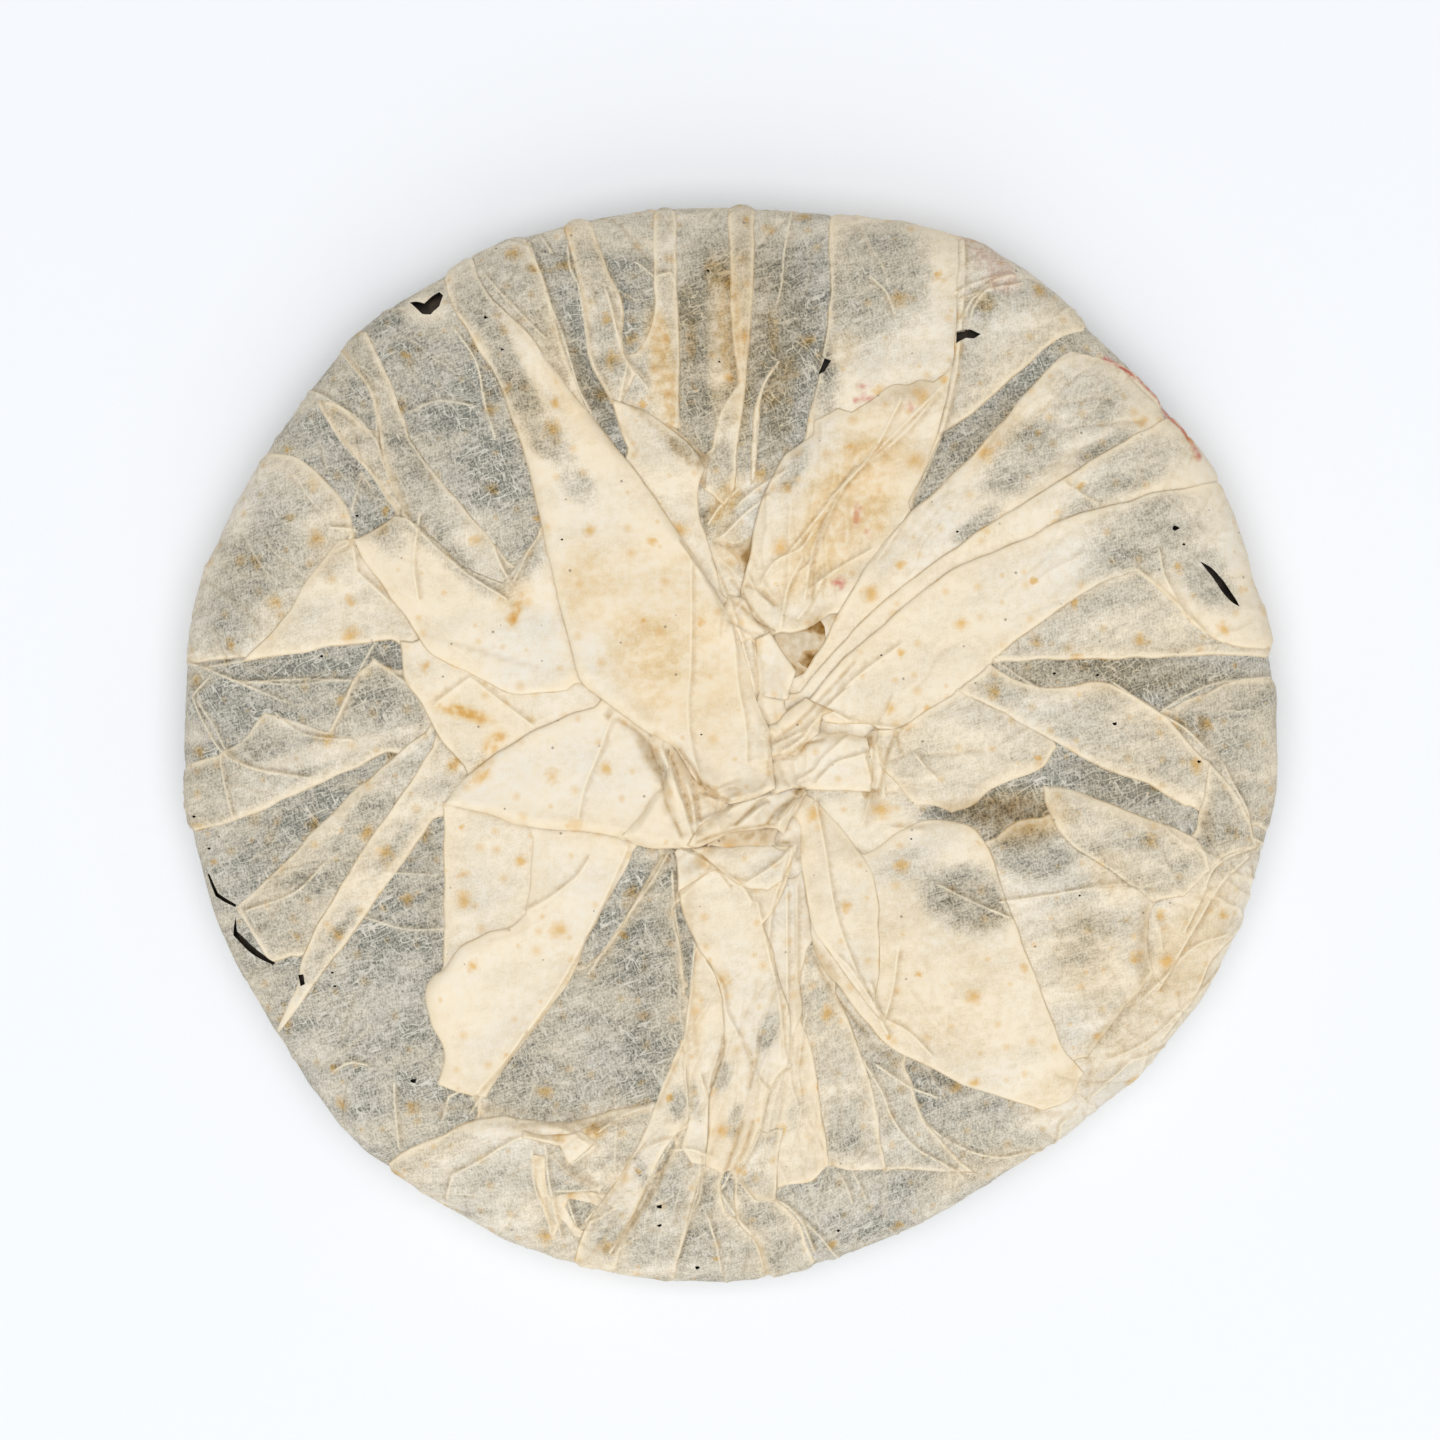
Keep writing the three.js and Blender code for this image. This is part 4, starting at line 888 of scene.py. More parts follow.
# Where a layer is closer to the tea or farther from it: middle, length, width, heading and show,
# laid over each other in turn.
SHOWING = {
    "skin": (
        ((-4.5, 76), 40, 10, 90, 0.86), ((11, 72), 48, 14, 86, 0.86), ((-25.5, 68), 34, 5, 110, 0.98),
        ((-20, 82), 16, 4, 105, 0.9), ((8, 26), 26, 22, 90, 0.1), ((12, 5), 44, 24, 90, 0.1),
        ((22, -16), 44, 16, 0, 0.1), ((-18, 6), 50, 34, 0, 0.1), ((13, -30), 36, 7, 95, 0.15),
        ((28, -2), 20, 24, 0, 0.1), ((-85, 9), 30, 11, 10, 0.85), ((-66, 14), 12, 8, 20, 0.92),
        ((-88, -9), 20, 8, 15, 0.72), ((-74, -11), 44, 7, 34, 0.85), ((-62, -30), 44, 14, 70, 0.8),
        ((-72, -52), 24, 16, 50, 0.6), ((-62, -70), 26, 14, 40, 0.66), ((-26, -58), 34, 18, 10, 0.74),
        ((30, -73), 34, 12, 160, 0.6), ((2, -88), 50, 12, 0, 0.52), ((70, 12), 56, 9, 0, 0.86),
        ((72, -9), 26, 11, 155, 0.92), ((47, -14), 26, 6, 0, 1), ((57, -17), 22, 14, 0, 1),
        ((90, -8), 30, 8, 80, 0.74), ((52, 62), 44, 9, 40, 0.88), ((1, 43), 18, 16, 90, 0.28),
        ((-5, 42), 3, 2, 60, 0.85), ((-8, 96), 90, 17, 0, 0.45), ((-14.5, 64), 34, 6, 93, 0.3),
        ((-2, 72), 38, 5, 92, 0.4), ((88, -38), 50, 34, 66, 0.2), ((70, -64), 46, 30, 47, 0.2),
        ((46, -78), 26, 12, 25, 0.42), ((-48, 58), 36, 26, 118, 0.76), ((-68, 52), 18, 8, 125, 0.8),
        ((-62, 12), 9, 6, 100, 1), ((-14, 49), 12, 6, 130, 0.3), ((-56, 79.7), 11, 8, 0, 0.15),
        ((-44, 36), 24, 10, 130, 0.45), ((-1, 33), 12, 9, 110, 0.12),
    ),
    "north_pleat_west": (((-12.5, 64), 40, 6, 92, 0.22),),
    "north_pleat_middle": (((0.5, 72), 46, 5, 93, 0.22),),
    "outer_pleat": (
        ((-58, 50), 26, 5, 118, 0.72), ((-68, 70), 12, 6, 118, 0.62), ((-45, 34), 24, 8, 130, 0.25),
    ),
    "west_rim_flap": (((-89, 31), 36, 15, 60, 0.67),),
    "west_apron": (((-74, 31), 10, 4, 60, 0.3),),
    "west_band": (
        ((-74, -2), 40, 4.5, 14, 0.22), ((-86, 0), 14, 6, 10, 0.66), ((-78, -9), 44, 4, 27, 0.22),
    ),
    "strip_upper": (
        ((-74, -24), 30, 8, 50, 0.64), ((-72, -13), 44, 4, 47, 0.25),
    ),
    "strip_lower": (
        ((-66, -27), 40, 4, 52, 0.2), ((-62, -20), 14, 3, 52, 0.6), ((-71, -34), 10, 3, 52, 0.62),
        ((-76, -42), 12, 4, 52, 0.45),
    ),
    "south_wedge": (((-14, -40), 20, 10, 70, 0.74),),
    "south_ridge": (
        ((-30, -82), 20, 8, 100, 0.58), ((-42, -75), 26, 10, 12, 0.28), ((-47, -80), 14, 5, 20, 0.45),
        ((-26, -86.5), 9, 6, 0, 0.62), ((-28, -74), 10, 4, 160, 0.12), ((-38, -72), 34, 3, 178, 0.12),
    ),
    "south_fan_outer": (((21, -72), 10, 8, 90, 0.6),),
    "south_fan_east": (((12.5, -69), 8, 4, 90, 0.3),),
    "south_fan_flap": (((4, -81), 5, 4, 0, 0.6),),
    "south_fan_left_low": (((-10.5, -83), 14, 5, 105, 0.6),),
    "south_fan_west": (
        ((-9.5, -67), 7, 4, 80, 0.7), ((-16, -80), 14, 3, 115, 0.5), ((-21, -92), 22, 8, 115, 0.42),
    ),
    "south_fan_middle": (
        ((7, -54), 8, 4, 75, 0.66), ((-1.5, -62), 7, 4, 80, 0.62), ((9, -44), 6, 3, 90, 0.4),
        ((1, -70), 8, 3, 80, 0.5),
    ),
    "south_fan_left": (((-7, -66), 8, 3, 100, 0.45),),
    "north_mantle": (
        ((26.5, 85), 30, 24, 93, 0.62), ((16, 70), 26, 7, 100, 0.7), ((39, 80), 34, 4, 88, 0.12),
    ),
    "mantle_patch": (((12, 50), 10, 4, 60, 0.45),),
    "north_east_rim_flap": (
        ((46, 78), 14, 5, 60, 0.55), ((60, 86), 24, 12, 140, 0.22), ((50, 72), 20, 8, 30, 0.3),
    ),
    "north_east_blade": (
        ((55, 53), 24, 11, 40, 0.6), ((65, 62), 20, 14, 30, 0.42), ((70, 54), 16, 5, 25, 0.72),
        ((46, 40), 12, 4, 38, 0.6),
    ),
    "east_blade_upper": (
        ((74, 50), 26, 9, 30, 0.52), ((64, 42), 12, 4, 28, 0.5),
    ),
    "east_blade": (
        ((76, 37), 26, 16, 25, 0.6), ((88, 30), 16, 10, 130, 0.6),
    ),
    "east_skirt": (
        ((74, 27), 16, 6, 20, 0.58), ((90, 22), 14, 5, 0, 0.4),
    ),
    "east_tail_inner": (((52, 0), 14, 8, 150, 0.3),),
    "east_tail": (((78, -3), 18, 7, 155, 0.52),),
    "east_rim_fold": (((90, 0), 24, 8, 90, 0.58),),
    "south_east_tongue": (
        ((76, -19), 18, 5, 155, 0.5), ((70, -24), 22, 4, 145, 0.48),
    ),
    "south_east_panel": (
        ((57, -21), 18, 9, 0, 0.78), ((65, -33), 22, 14, 90, 0.38),
    ),
    "south_east_lobe": (
        ((44, -29), 18, 14, 160, 0.86), ((34, -23), 14, 7, 0, 0.28),
    ),
    "west_cream_low": (((-48, -4), 14, 5, 0, 0.3),),
    "west_cream": (
        ((-44, 33), 10, 4, 140, 0.3), ((-52, 36.5), 34, 8, 140, 0.62), ((-64, 39), 12, 7, 130, 0.5),
        ((-38, 34), 12, 8, 60, 0.55),
    ),
    "north_tongue": (((-9, 54), 12, 4, 150, 0.45),),
    "great_blade": (
        ((-40, 67), 20, 8, 112, 0.74), ((-34, 56), 16, 7, 125, 0.6), ((-28.5, 48), 12, 6, 120, 0.48),
        ((-47, 82), 22, 10, 122, 0.6), ((-35, 66), 30, 3, 120, 0.15), ((-15, 14), 22, 20, 110, 0.1),
    ),
}

# Painted brown shade, mostly deep in the gathers: middle, length, width, heading, depth. The wide one at (2,
# 81) darkens and browns the north of the back.
SHADES = (
    ((2, 81), 44, 30, 90, 0.18), ((8.5, 11), 6, 5, 60, 0.3), ((12.5, -18.5), 3, 3, 0, 0.6),
    ((-14.8, -2.6), 12, 3.2, 118, 0.8), ((-9.2, -4.8), 8, 3.6, 120, 0.7), ((-6, -8.2), 2.8, 2, 0, 1),
    ((-11, -13), 6, 2, 110, 0.45), ((12.7, -9.4), 2.4, 2, 45, 1), ((26, -12.8), 6, 3.4, 80, 0.4),
    ((16, 23), 7, 2.4, 40, 0.7), ((31.5, -1), 5, 1, 110, 0.5), ((10, -12.5), 5, 1.3, 50, 0.8),
    ((-22.2, 4.9), 2.6, 1.4, 55, 1), ((-3.5, -8.8), 4, 1.5, 140, 0.9), ((10, -19), 4, 1.4, 10, 0.9),
    ((12.6, -21.6), 4, 1.2, 95, 0.8), ((8.4, -3), 3, 1.1, 10, 0.7), ((26.3, -0.2), 3, 1.2, 80, 0.9),
    ((26.5, -10), 3.4, 2, 80, 0.9), ((15.8, 21.2), 4, 3, 60, 0.9), ((14.2, 15), 3, 2.5, 60, 0.9),
    ((-5, 51.5), 5, 2, 60, 0.8), ((-4.5, 42), 3.6, 2, 50, 0.8), ((5.5, -14), 5, 1.3, 55, 0.5),
    ((17.5, -41), 14, 2.2, 122, 0.6), ((13.3, -19.5), 5, 1.2, 95, 0.6), ((-13.5, -24), 12, 3.5, 62, 0.35),
    ((-8, -36), 26, 3, 85, 0.35), ((-25.5, 64), 24, 2.4, 112, 0.3), ((-16, 60), 9, 1.6, 140, 0.7),
    ((-9, 53), 10, 1.6, 130, 0.6), ((-30, -70.8), 30, 1.6, 2, 0.6), ((48, -13), 24, 6, 0, 0.75),
    ((76.5, -38), 20, 3.2, 92, 0.6), ((71.5, -51.5), 20, 3, 52, 0.5), ((-62, 48), 18, 1.8, 112, 0.4),
    ((-68, 48), 16, 3, 125, 0.35), ((-22, 60), 14, 1.2, 128, 0.5), ((-45, 16), 24, 1.2, 164, 0.35),
    ((33, 64.5), 9, 3, 20, 0.4), ((-22.5, 87), 14, 1.6, 115, 0.45), ((63, 51.5), 14, 4, 20, 0.35),
    ((88, 0), 12, 2, 115, 0.45), ((88, -16), 9, 3, 100, 0.55), ((54, -18), 12, 7, 0, 0.4),
    ((-6, -22.7), 7, 3, 40, 0.6), ((-16, -51), 4, 2, 0, 0.6), ((-28, -80), 9, 3, 145, 0.55),
    ((-40, -68.5), 44, 2, 178, 0.4), ((-55, -27), 30, 4, 90, 0.25), ((-12, -8), 6, 2, 120, 0.6),
    ((34, -60.5), 34, 2.2, 153, 0.4), ((58, -69), 16, 2, 172, 0.35), ((12.6, -42), 30, 1.2, 92, 0.35),
    ((-6.9, -50), 22, 1.2, 96, 0.3), ((47, 58), 30, 3.5, 43, 0.3), ((73, 69), 6, 3, 120, 0.5),
    ((-74, 33), 8, 5, 60, 0.25), ((-63.5, 15), 6, 4, 100, 0.35),
)

# Stains: middle, length, width, heading, strength. The one at (53, -14) also paints the brown shade below the
# south-east panel's top edge.
STAINS = (
    ((-15, 15), 32, 20, 110, 0.64), ((-10, 20), 48, 26, 115, 0.5), ((-4, 2), 24, 10, 100, 0.35),
    ((-36, 87), 4, 3, 0, 0.8), ((-84, 25.5), 4, 3, 0, 0.6), ((-76.5, 47.5), 4, 3, 0, 0.7),
    ((-43.5, -0.5), 7, 4, 50, 1), ((-46, -6), 7, 4, 60, 0.9), ((-49, 5), 14, 3, 165, 1),
    ((-51, -4.5), 4, 3, 60, 1), ((-39.5, 24), 8, 2.4, 75, 1), ((84, -40), 44, 16, 62, 0.45),
    ((66, -60), 40, 12, 45, 0.35), ((-53, 7), 8, 5, 0, 0.5), ((-67, 12.5), 3, 2, 0, 0.6),
    ((-40, 27), 10, 7, 50, 0.55), ((24, 58), 14, 8, 40, 0.45), ((-13, 74), 16, 6, 100, 0.8),
    ((-11, 64), 22, 4, 92, 0.8), ((-8, 76), 28, 5, 90, 0.55), ((0, 76), 36, 7, 93, 0.78),
    ((-3, 86), 10, 6, 90, 0.75), ((9, 66), 16, 6, 65, 0.75), ((-1, 44), 14, 6, 60, 0.8),
    ((9, 60), 30, 5, 80, 0.5), ((20, 72), 12, 8, 40, 0.4), ((22, 44), 44, 20, 60, 0.72),
    ((38, -44), 54, 30, 120, 0.28), ((33, -53), 16, 6, 150, 0.25), ((70, -25), 14, 8, 120, 0.4),
    ((-88, -14), 5, 3, 90, 0.6), ((-85, -18), 4, 2, 60, 0.6), ((45, -79), 30, 8, 20, 0.2),
    ((60, 76), 20, 10, 140, 0.2), ((-7, 74), 14, 2.4, 90, 0.85), ((8, 76), 14, 3, 95, 0.8),
    ((-12.7, 70), 22, 6, 90, 0.7), ((2.5, 66), 34, 4, 90, 0.7), ((47, 80.5), 5, 4, 0, 0.7),
    ((-6, -52), 16, 3, 92, 0.5), ((-25, -72), 5, 4, 0, 0.9), ((-84, 25.5), 3, 3, 0, 0.9),
    ((-90, 33), 3, 3, 0, 0.8), ((-81, 41), 3, 2, 0, 0.8), ((30, 30), 22, 6, 55, 0.2),
    ((53, -14), 24, 12, 0, 0.75), ((45, -31), 18, 12, 160, 0.4), ((-38, 62), 26, 10, 112, 0.4),
    ((-30, 68), 34, 10, 112, 0.4), ((-9, 56), 18, 8, 130, 0.5), ((0, 36), 14, 8, 110, 0.45),
    ((12, 30), 12, 6, 60, 0.6), ((-26, 28), 22, 16, 100, 0.5), ((66, -40), 26, 16, 110, 0.3),
    ((0, 74), 46, 34, 90, 0.45), ((70, 12), 50, 8, 0, 0.5), ((72, -9), 24, 10, 155, 0.3),
    ((52, 58), 34, 7, 43, 0.35),
)

# ---------------------------------------------------------------------------------------------------
# The layers
# ---------------------------------------------------------------------------------------------------
SKIN_WAY = 141.0  # the skin of the back goes on round the rim as far as this
SKIN_CORNERS = 720  # of its edge
SPACING = 0.95  # of the points of a layer
EDGE_RINGS = (0.14, 0.36)  # rings of points inside a layer's edge
CREASE_ROWS = (-0.6, -0.3, 0.0, 0.3, 0.6)  # rows of points along a crease
CREASE_INSET = 0.45  # they end this far from the layer's edge
SPECK_CORNERS = 7

SKIN_SEED = 1
FIRST_SEED = 100  # of the folds, each has the next one
WRINKLE_SEED = 11
UNEVEN_SEED = 7

# How the layers lie, in mm
TUCK = 2.2  # tissue that lies farther than this under a fold is left out
UNDER = 1.6  # where a later fold meets an edge, the edge runs on under it
EDGE_WOBBLE = 0.5  # how uneven a fold's outline is
EDGE_ROLL = 0.30  # a flat fold's edge rounds down over this width, and a raised one over more
SETTLE = 2.2  # a fold's edge lies on the fold below, and spans its steps from here on
CRUMPLES = ((0.42, 15.0), (0.20, 6.5))  # height and size of the wide wrinkles
PLEATS = (0.12, 4.2, 30.0)  # height, width and length of the fine ones
RIM_CRUMPLE = 0.2  # how much higher they are on the rim
RIM_PRESS = 0.85  # how much flatter a fold is on the rim
RIM_PRESSED = (26.0, 2.0)  # from and to this far before the widest place
WRINKLE_SWAY = 0.035  # how far a seeded wrinkle winds, as a share of its length
WRINKLE_WIDTHS = (0.45, 0.9)  # half widths, from and to
DRAPE_BLUR = 7  # cells of the grid that a draped sheet is smoothed over
RELIEF_BLUR = 9  # cells of the grid that make the level of the surroundings

# How far marks reach, in mm
HEM = 1.3  # the doubled edge of a fold
AGED = 3.5  # tissue is yellower as far as this from a fold's edge
EDGE_SHADE = 0.30  # the painted brown shadow line along a fold's very edge
LINE = 0.34  # half width of a crease's pale line
CREASE_REACH = 1.6  # whatever a crease does ends here
CREASE_SIDE = 0.45  # the middle of the band beside a crease: painted shade beside a ridge, a painted highlight beside a valley
UNEVEN_SIZE = 7.0  # the painted shadow line along an edge comes and goes over this length

# How strong marks are, from 0 to 1
SKIN_SHOW = 0.72  # how much of the tea shows through the skin
HEM_COVER = 0.55  # how much less of the tea shows through a hem
RIM_COVER = 0.25  # how much less of it shows through on the rim
EDGE_PALE = 0.8
# strength of the painted brown shadow line along a fold's edge
EDGE_SHADOW = 0.52
EDGE_AGED = 0.30
# painted shade beside a ridge, and a painted highlight beside a valley
RIDGE_SHADE = 0.42
VALLEY_HIGHLIGHT = 0.6
SEEDED_INK = 0.5
SHADES_DEPTH = 0.62
SUNKEN_SHADE = 0.34  # painted shade where the surface lies below the level of its surroundings
RAISED_HIGHLIGHT = 0.40  # and a painted highlight where it stands above it
SPOT_EDGE = (0.45, 1.25)  # a soft spot fades between these shares of its size


class Crease(NamedTuple):
    """A sharp line in the tissue, raised or pressed in."""

    rise: float
    width: float  # half of it
    line: np.ndarray
    ink: float  # how strong its pale lines, painted highlights and painted shade are


class Spot(NamedTuple):
    """A soft ellipse on the unrolled wrapper."""

    middle: np.ndarray
    length: float
    width: float
    heading: float
    value: float  # how much of the tea shows through there, or how deep the shade or the stain is

    def on(self, points):
        """1 in the middle of the ellipse, 0 outside it."""
        turn = math.radians(self.heading)
        x, y = (points - self.middle).T
        along = (x * math.cos(turn) + y * math.sin(turn)) / (self.length / 2)
        across = (y * math.cos(turn) - x * math.sin(turn)) / (self.width / 2)
        return 1.0 - smoothstep(*SPOT_EDGE, np.hypot(along, across))


class Layer(NamedTuple):
    """A meshed layer of the wrapper."""

    points: np.ndarray
    faces: np.ndarray
    height: np.ndarray
    paint: dict


def spots_of(rows):
    """A table's rows as soft ellipses."""
    middles = unroll([row[0] for row in rows])
    return [Spot(middle, *row[1:]) for middle, row in zip(middles, rows)]


def seeded_wrinkle(rng, middle, heading, length, rise):
    """A slightly bent crease through a point of the unrolled wrapper."""
    steps = np.linspace(-0.5, 0.5, 5)
    sway = np.cumsum(rng.normal(0.0, WRINKLE_SWAY, len(steps))) * length
    along = np.array((math.cos(heading), math.sin(heading)))
    across = np.array((-along[1], along[0]))
    line = middle + steps[:, None] * length * along + (sway - sway.mean())[:, None] * across
    height = rise * rng.uniform(0.4, 1.0) * rng.choice((-1.0, 1.0))
    return Crease(height, rng.uniform(*WRINKLE_WIDTHS), curve_through(line, False, 0.9), SEEDED_INK)


def seeded_wrinkles():
    """Wrinkles in zones of the back, and all round its rim."""
    wrinkles = []
    rng = np.random.default_rng(WRINKLE_SEED)
    middles = unroll([row[1] for row in WRINKLES])
    knot = unroll([KNOT])[0]
    for (count, _, reach, lengths, scatter, rise), middle in zip(WRINKLES, middles):
        for _ in range(count):
            place = middle + rng.normal(0.0, reach / 2, 2)
            heading = math.atan2(*(place - knot)[::-1]) + math.radians(rng.normal(0.0, scatter))
            wrinkles.append(seeded_wrinkle(rng, place, heading, rng.uniform(*lengths), rise))
    count, ways, lengths, scatter, rise = RIM_WRINKLES
    for _ in range(count):
        turn = rng.uniform(0.0, 2 * np.pi)
        place = rng.uniform(*ways) * np.array((math.cos(turn), math.sin(turn)))
        heading = turn + math.radians(rng.normal(0.0, scatter))
        wrinkles.append(seeded_wrinkle(rng, place, heading, rng.uniform(*lengths), rise))
    return wrinkles


class Drawing:
    """What is drawn on the layers: creases with their painted highlights and shade, strokes of print, and
    soft spots of show-through, painted shade and stain.
    """

    def __init__(self):
        self.creases = [
            Crease(rise, width, curve_through(unroll(line), False, 0.8), 1.0)
            for rise, width, line in CREASES
        ]
        self.creases += seeded_wrinkles()
        self.low = np.array([crease.line.min(axis=0) for crease in self.creases])
        self.high = np.array([crease.line.max(axis=0) for crease in self.creases])
        self.prints = [
            (strength, width, curve_through(unroll(line), False, 0.5))
            for strength, width, line in PRINT
        ]
        self.showing = {name: spots_of(rows) for name, rows in SHOWING.items()}
        self.shades = spots_of(SHADES)
        self.stains = spots_of(STAINS)

    def creases_in(self, loop):
        """The creases that may cross a loop."""
        near = np.all((self.high > loop.min(axis=0)) & (self.low < loop.max(axis=0)), axis=1)
        return [self.creases[i] for i in np.flatnonzero(near)]

    def press(self, region, points, height, line, shade):
        """Raises a region's creases. A ridge gets a pale line, partly doubled tissue and partly painted
        highlight, with painted shade beside it; a valley gets painted shade along it and a painted highlight
        beside it.
        """
        places = Places(points)
        for rise, width, crease, ink in self.creases_in(region.loop):
            near = places.near(crease, CREASE_REACH)
            gap, side = distance(points[near], crease, False)
            profile = np.clip(1.0 - gap / width, 0.0, 1.0)
            height[near] += rise * profile
            weight = ink * min(1.0, abs(rise) / 0.25)
            middle = weight * np.clip(1.0 - gap / LINE, 0.0, 1.0)
            beyond = weight * np.clip(1.0 - np.abs(gap * side - CREASE_SIDE) / 0.4, 0.0, 1.0)
            if rise > 0.0:
                line[near] = np.maximum(line[near], middle)
                shade[near] = np.maximum(shade[near], RIDGE_SHADE * beyond)
            else:
                line[near] = np.maximum(line[near], VALLEY_HIGHLIGHT * beyond)
                depth = min(0.6, 0.2 - 0.7 * rise)
                shade[near] = np.maximum(shade[near], depth * (weight * profile))

    def printed(self, points):
        """The strokes of print at points."""
        mark = np.zeros(len(points))
        places = Places(points)
        for strength, width, stroke in self.prints:
            near = places.near(stroke, width + 1.0)
            gap = distance(points[near], stroke, False)[0]
            ink = strength * (1.0 - smoothstep(0.6 * width, width + 0.4, gap))
            mark[near] = np.maximum(mark[near], ink)
        return mark

    def layer(self, name, region, points, faces, height, show, tone=0.0):
        """A layer with everything that is drawn on it. The last argument says how deep a brown shade is
        painted on it.
        """
        if name == "skin":
            line, shade, stain = np.zeros((3, len(points)))
        else:  # its edge is in sight
            to_edge = region.measure(points)
            line = (EDGE_PALE - 0.7 * min(1.0, 2 * tone)) * smoothstep(0.1, EDGE_SHADE, to_edge)
            line = line * np.clip(2.2 - to_edge / LINE, 0.0, 1.0)
            # painted shade: over the whole of a shadow patch, and as a brown shadow line that comes and goes
            # along a fold's very edge
            deep = tone * (0.55 + 0.45 * smoothstep(0.0, 1.3, to_edge))
            uneven = np.clip(2.4 * noise(*points.T, UNEVEN_SIZE, UNEVEN_SEED) - 0.5, 0.2, 1.0)
            shade = np.maximum(deep, EDGE_SHADOW * uneven * (1.0 - smoothstep(0.0, EDGE_SHADE, to_edge)))
            stain = EDGE_AGED * np.exp(-to_edge / AGED)
            show = show * (1.0 - HEM_COVER * np.exp(-((to_edge / HEM) ** 2)))
        self.press(region, points, height, line, shade)
        for spot in self.showing.get(name, ()):
            show = show + spot.on(points) * (spot.value - show)
        for spot in self.shades:
            shade = np.maximum(shade, SHADES_DEPTH * spot.value * spot.on(points))
        for spot in self.stains:
            stain = np.maximum(stain, spot.value * spot.on(points))
        show = show * (1.0 - RIM_COVER * smoothstep(95.0, 104.0, np.hypot(*points.T)))
        paint = {"show": show, "line": line, "shade": shade, "stain": stain, "mark": self.printed(points)}
        return Layer(points, faces, height, paint)


def triangulate(region, holes, lines, covered):
    """Points and triangles that fill a region, finer along its edge, its holes and the lines in it.

    covered says where later folds lie over it: 1 where it is hidden, 2 where that is also far from
    its edge."""
    points, edges = [], []
    rim = EDGE_RINGS[-1]

    def add(line, joined):
        first = sum(map(len, points))
        points.append(line)
        if joined:
            edges.extend((first + i, first + (i + 1) % len(line)) for i in range(len(line)))

    add(region.loop, True)
    for offset in EDGE_RINGS:
        ring = beside(region.loop, True, offset)
        add(ring[region.measure(ring) > offset * 0.8], False)
    for hole in holes:
        add(hole, True)

    low, high = region.loop.min(axis=0), region.loop.max(axis=0)
    rows = np.arange(low[1], high[1], SPACING * math.sqrt(0.75))
    x, y = np.meshgrid(np.arange(low[0], high[0], SPACING), rows)
    x = x + (np.arange(len(rows)) % 2)[:, None] * SPACING / 2
    grid = np.column_stack((x.ravel(), y.ravel()))
    grid = grid[covered[cell_of(grid)] < 2]
    grid = grid[region.measure(grid) > rim + SPACING * 0.4]
    free = np.ones(len(grid), bool)
    grid_places = Places(grid)

    rows_beside = [np.empty((0, 2))]
    for line in lines:
        rows_beside.extend(beside(line, False, offset) for offset in CREASE_ROWS)
        near = grid_places.near(line, 1.2)
        free[near] &= distance(grid[near], line, False)[0] > CREASE_ROWS[-1] + SPACING * 0.3
    rows_beside = np.concatenate(rows_beside)
    rows_beside = rows_beside[covered[cell_of(rows_beside)] < 1]
    add(rows_beside[region.measure(rows_beside) > CREASE_INSET], False)
    for hole in holes:
        near = grid_places.near(hole, 1.0)
        outside = ~inside(grid[near], hole)
        free[near] &= outside & (distance(grid[near], hole, True)[0] > SPACING * 0.4)
    add(grid[free], False)

    made = delaunay_2d_cdt([Vector(p) for p in np.concatenate(points)], edges, [], 0, 1e-3, False)
    corners = np.array([tuple(p) for p in made[0]])
    faces = np.array(made[2])
    middle = corners[faces].mean(axis=1)
    keep = (region.measure(middle) > 0.0) & (covered[cell_of(middle)] < 1)
    for hole in holes:
        near = Places(middle).near(hole, 1.0)
        keep[near] &= ~inside(middle[near], hole)
    used, faces = np.unique(faces[keep], return_inverse=True)
    return corners[used], faces.reshape(-1, 3)


def crumpled(points, seed):
    """The wrinkles of a layer, never below zero."""
    x, y = points.T
    wide = sum(rise * crumple(x, y, size, seed + 10 * i) for i, (rise, size) in enumerate(CRUMPLES))
    fine = PLEATS[0] * pleats(x, y, *PLEATS[1:], seed + 20)
    return (wide + fine) * (1.0 + RIM_CRUMPLE * smoothstep(88.0, 102.0, np.hypot(x, y)))


def fold_height(fold, seed, points, to_edge, near, draped):
    """Height of a fold over the cake at points at a distance from its edge.

    At its edge it lies on what is near below it, and farther in it is draped over the stack."""
    turn = math.radians(fold.faces)
    facing = (math.cos(turn), math.sin(turn))
    along = unroll(fold.outline) @ facing
    across = np.clip((points @ facing - along.min()) / np.ptp(along), 0.0, 1.0)
    first, last = RIM_PRESSED
    on_rim = smoothstep(SECTION.rim - first, SECTION.rim - last, np.hypot(*points.T))
    rise = (fold.rise[0] + (fold.rise[1] - fold.rise[0]) * across) * (1.0 - RIM_PRESS * on_rim)
    roll = smoothstep(-0.05, 1.0, to_edge / (EDGE_ROLL + 0.6 * rise * rise))
    settled = smoothstep(0.0, SETTLE, to_edge)
    return near + (draped - near) * settled + rise * roll + crumpled(points, seed) * settled


def blurred(height, cells):
    """The mean height of the stack over a square of cells."""
    half = cells // 2
    for axis in (0, 1):
        height = sum(np.roll(height, shift, axis) for shift in range(-half, half + 1)) / cells
    return height


def drape(height):
    """The highest of the near heights of the stack, and the surface that a sheet laid over it takes."""
    near = height
    for axis in (0, 1):
        near = np.maximum(np.maximum(np.roll(near, 1, axis), np.roll(near, -1, axis)), near)
    return near, np.maximum(blurred(near, DRAPE_BLUR), height)


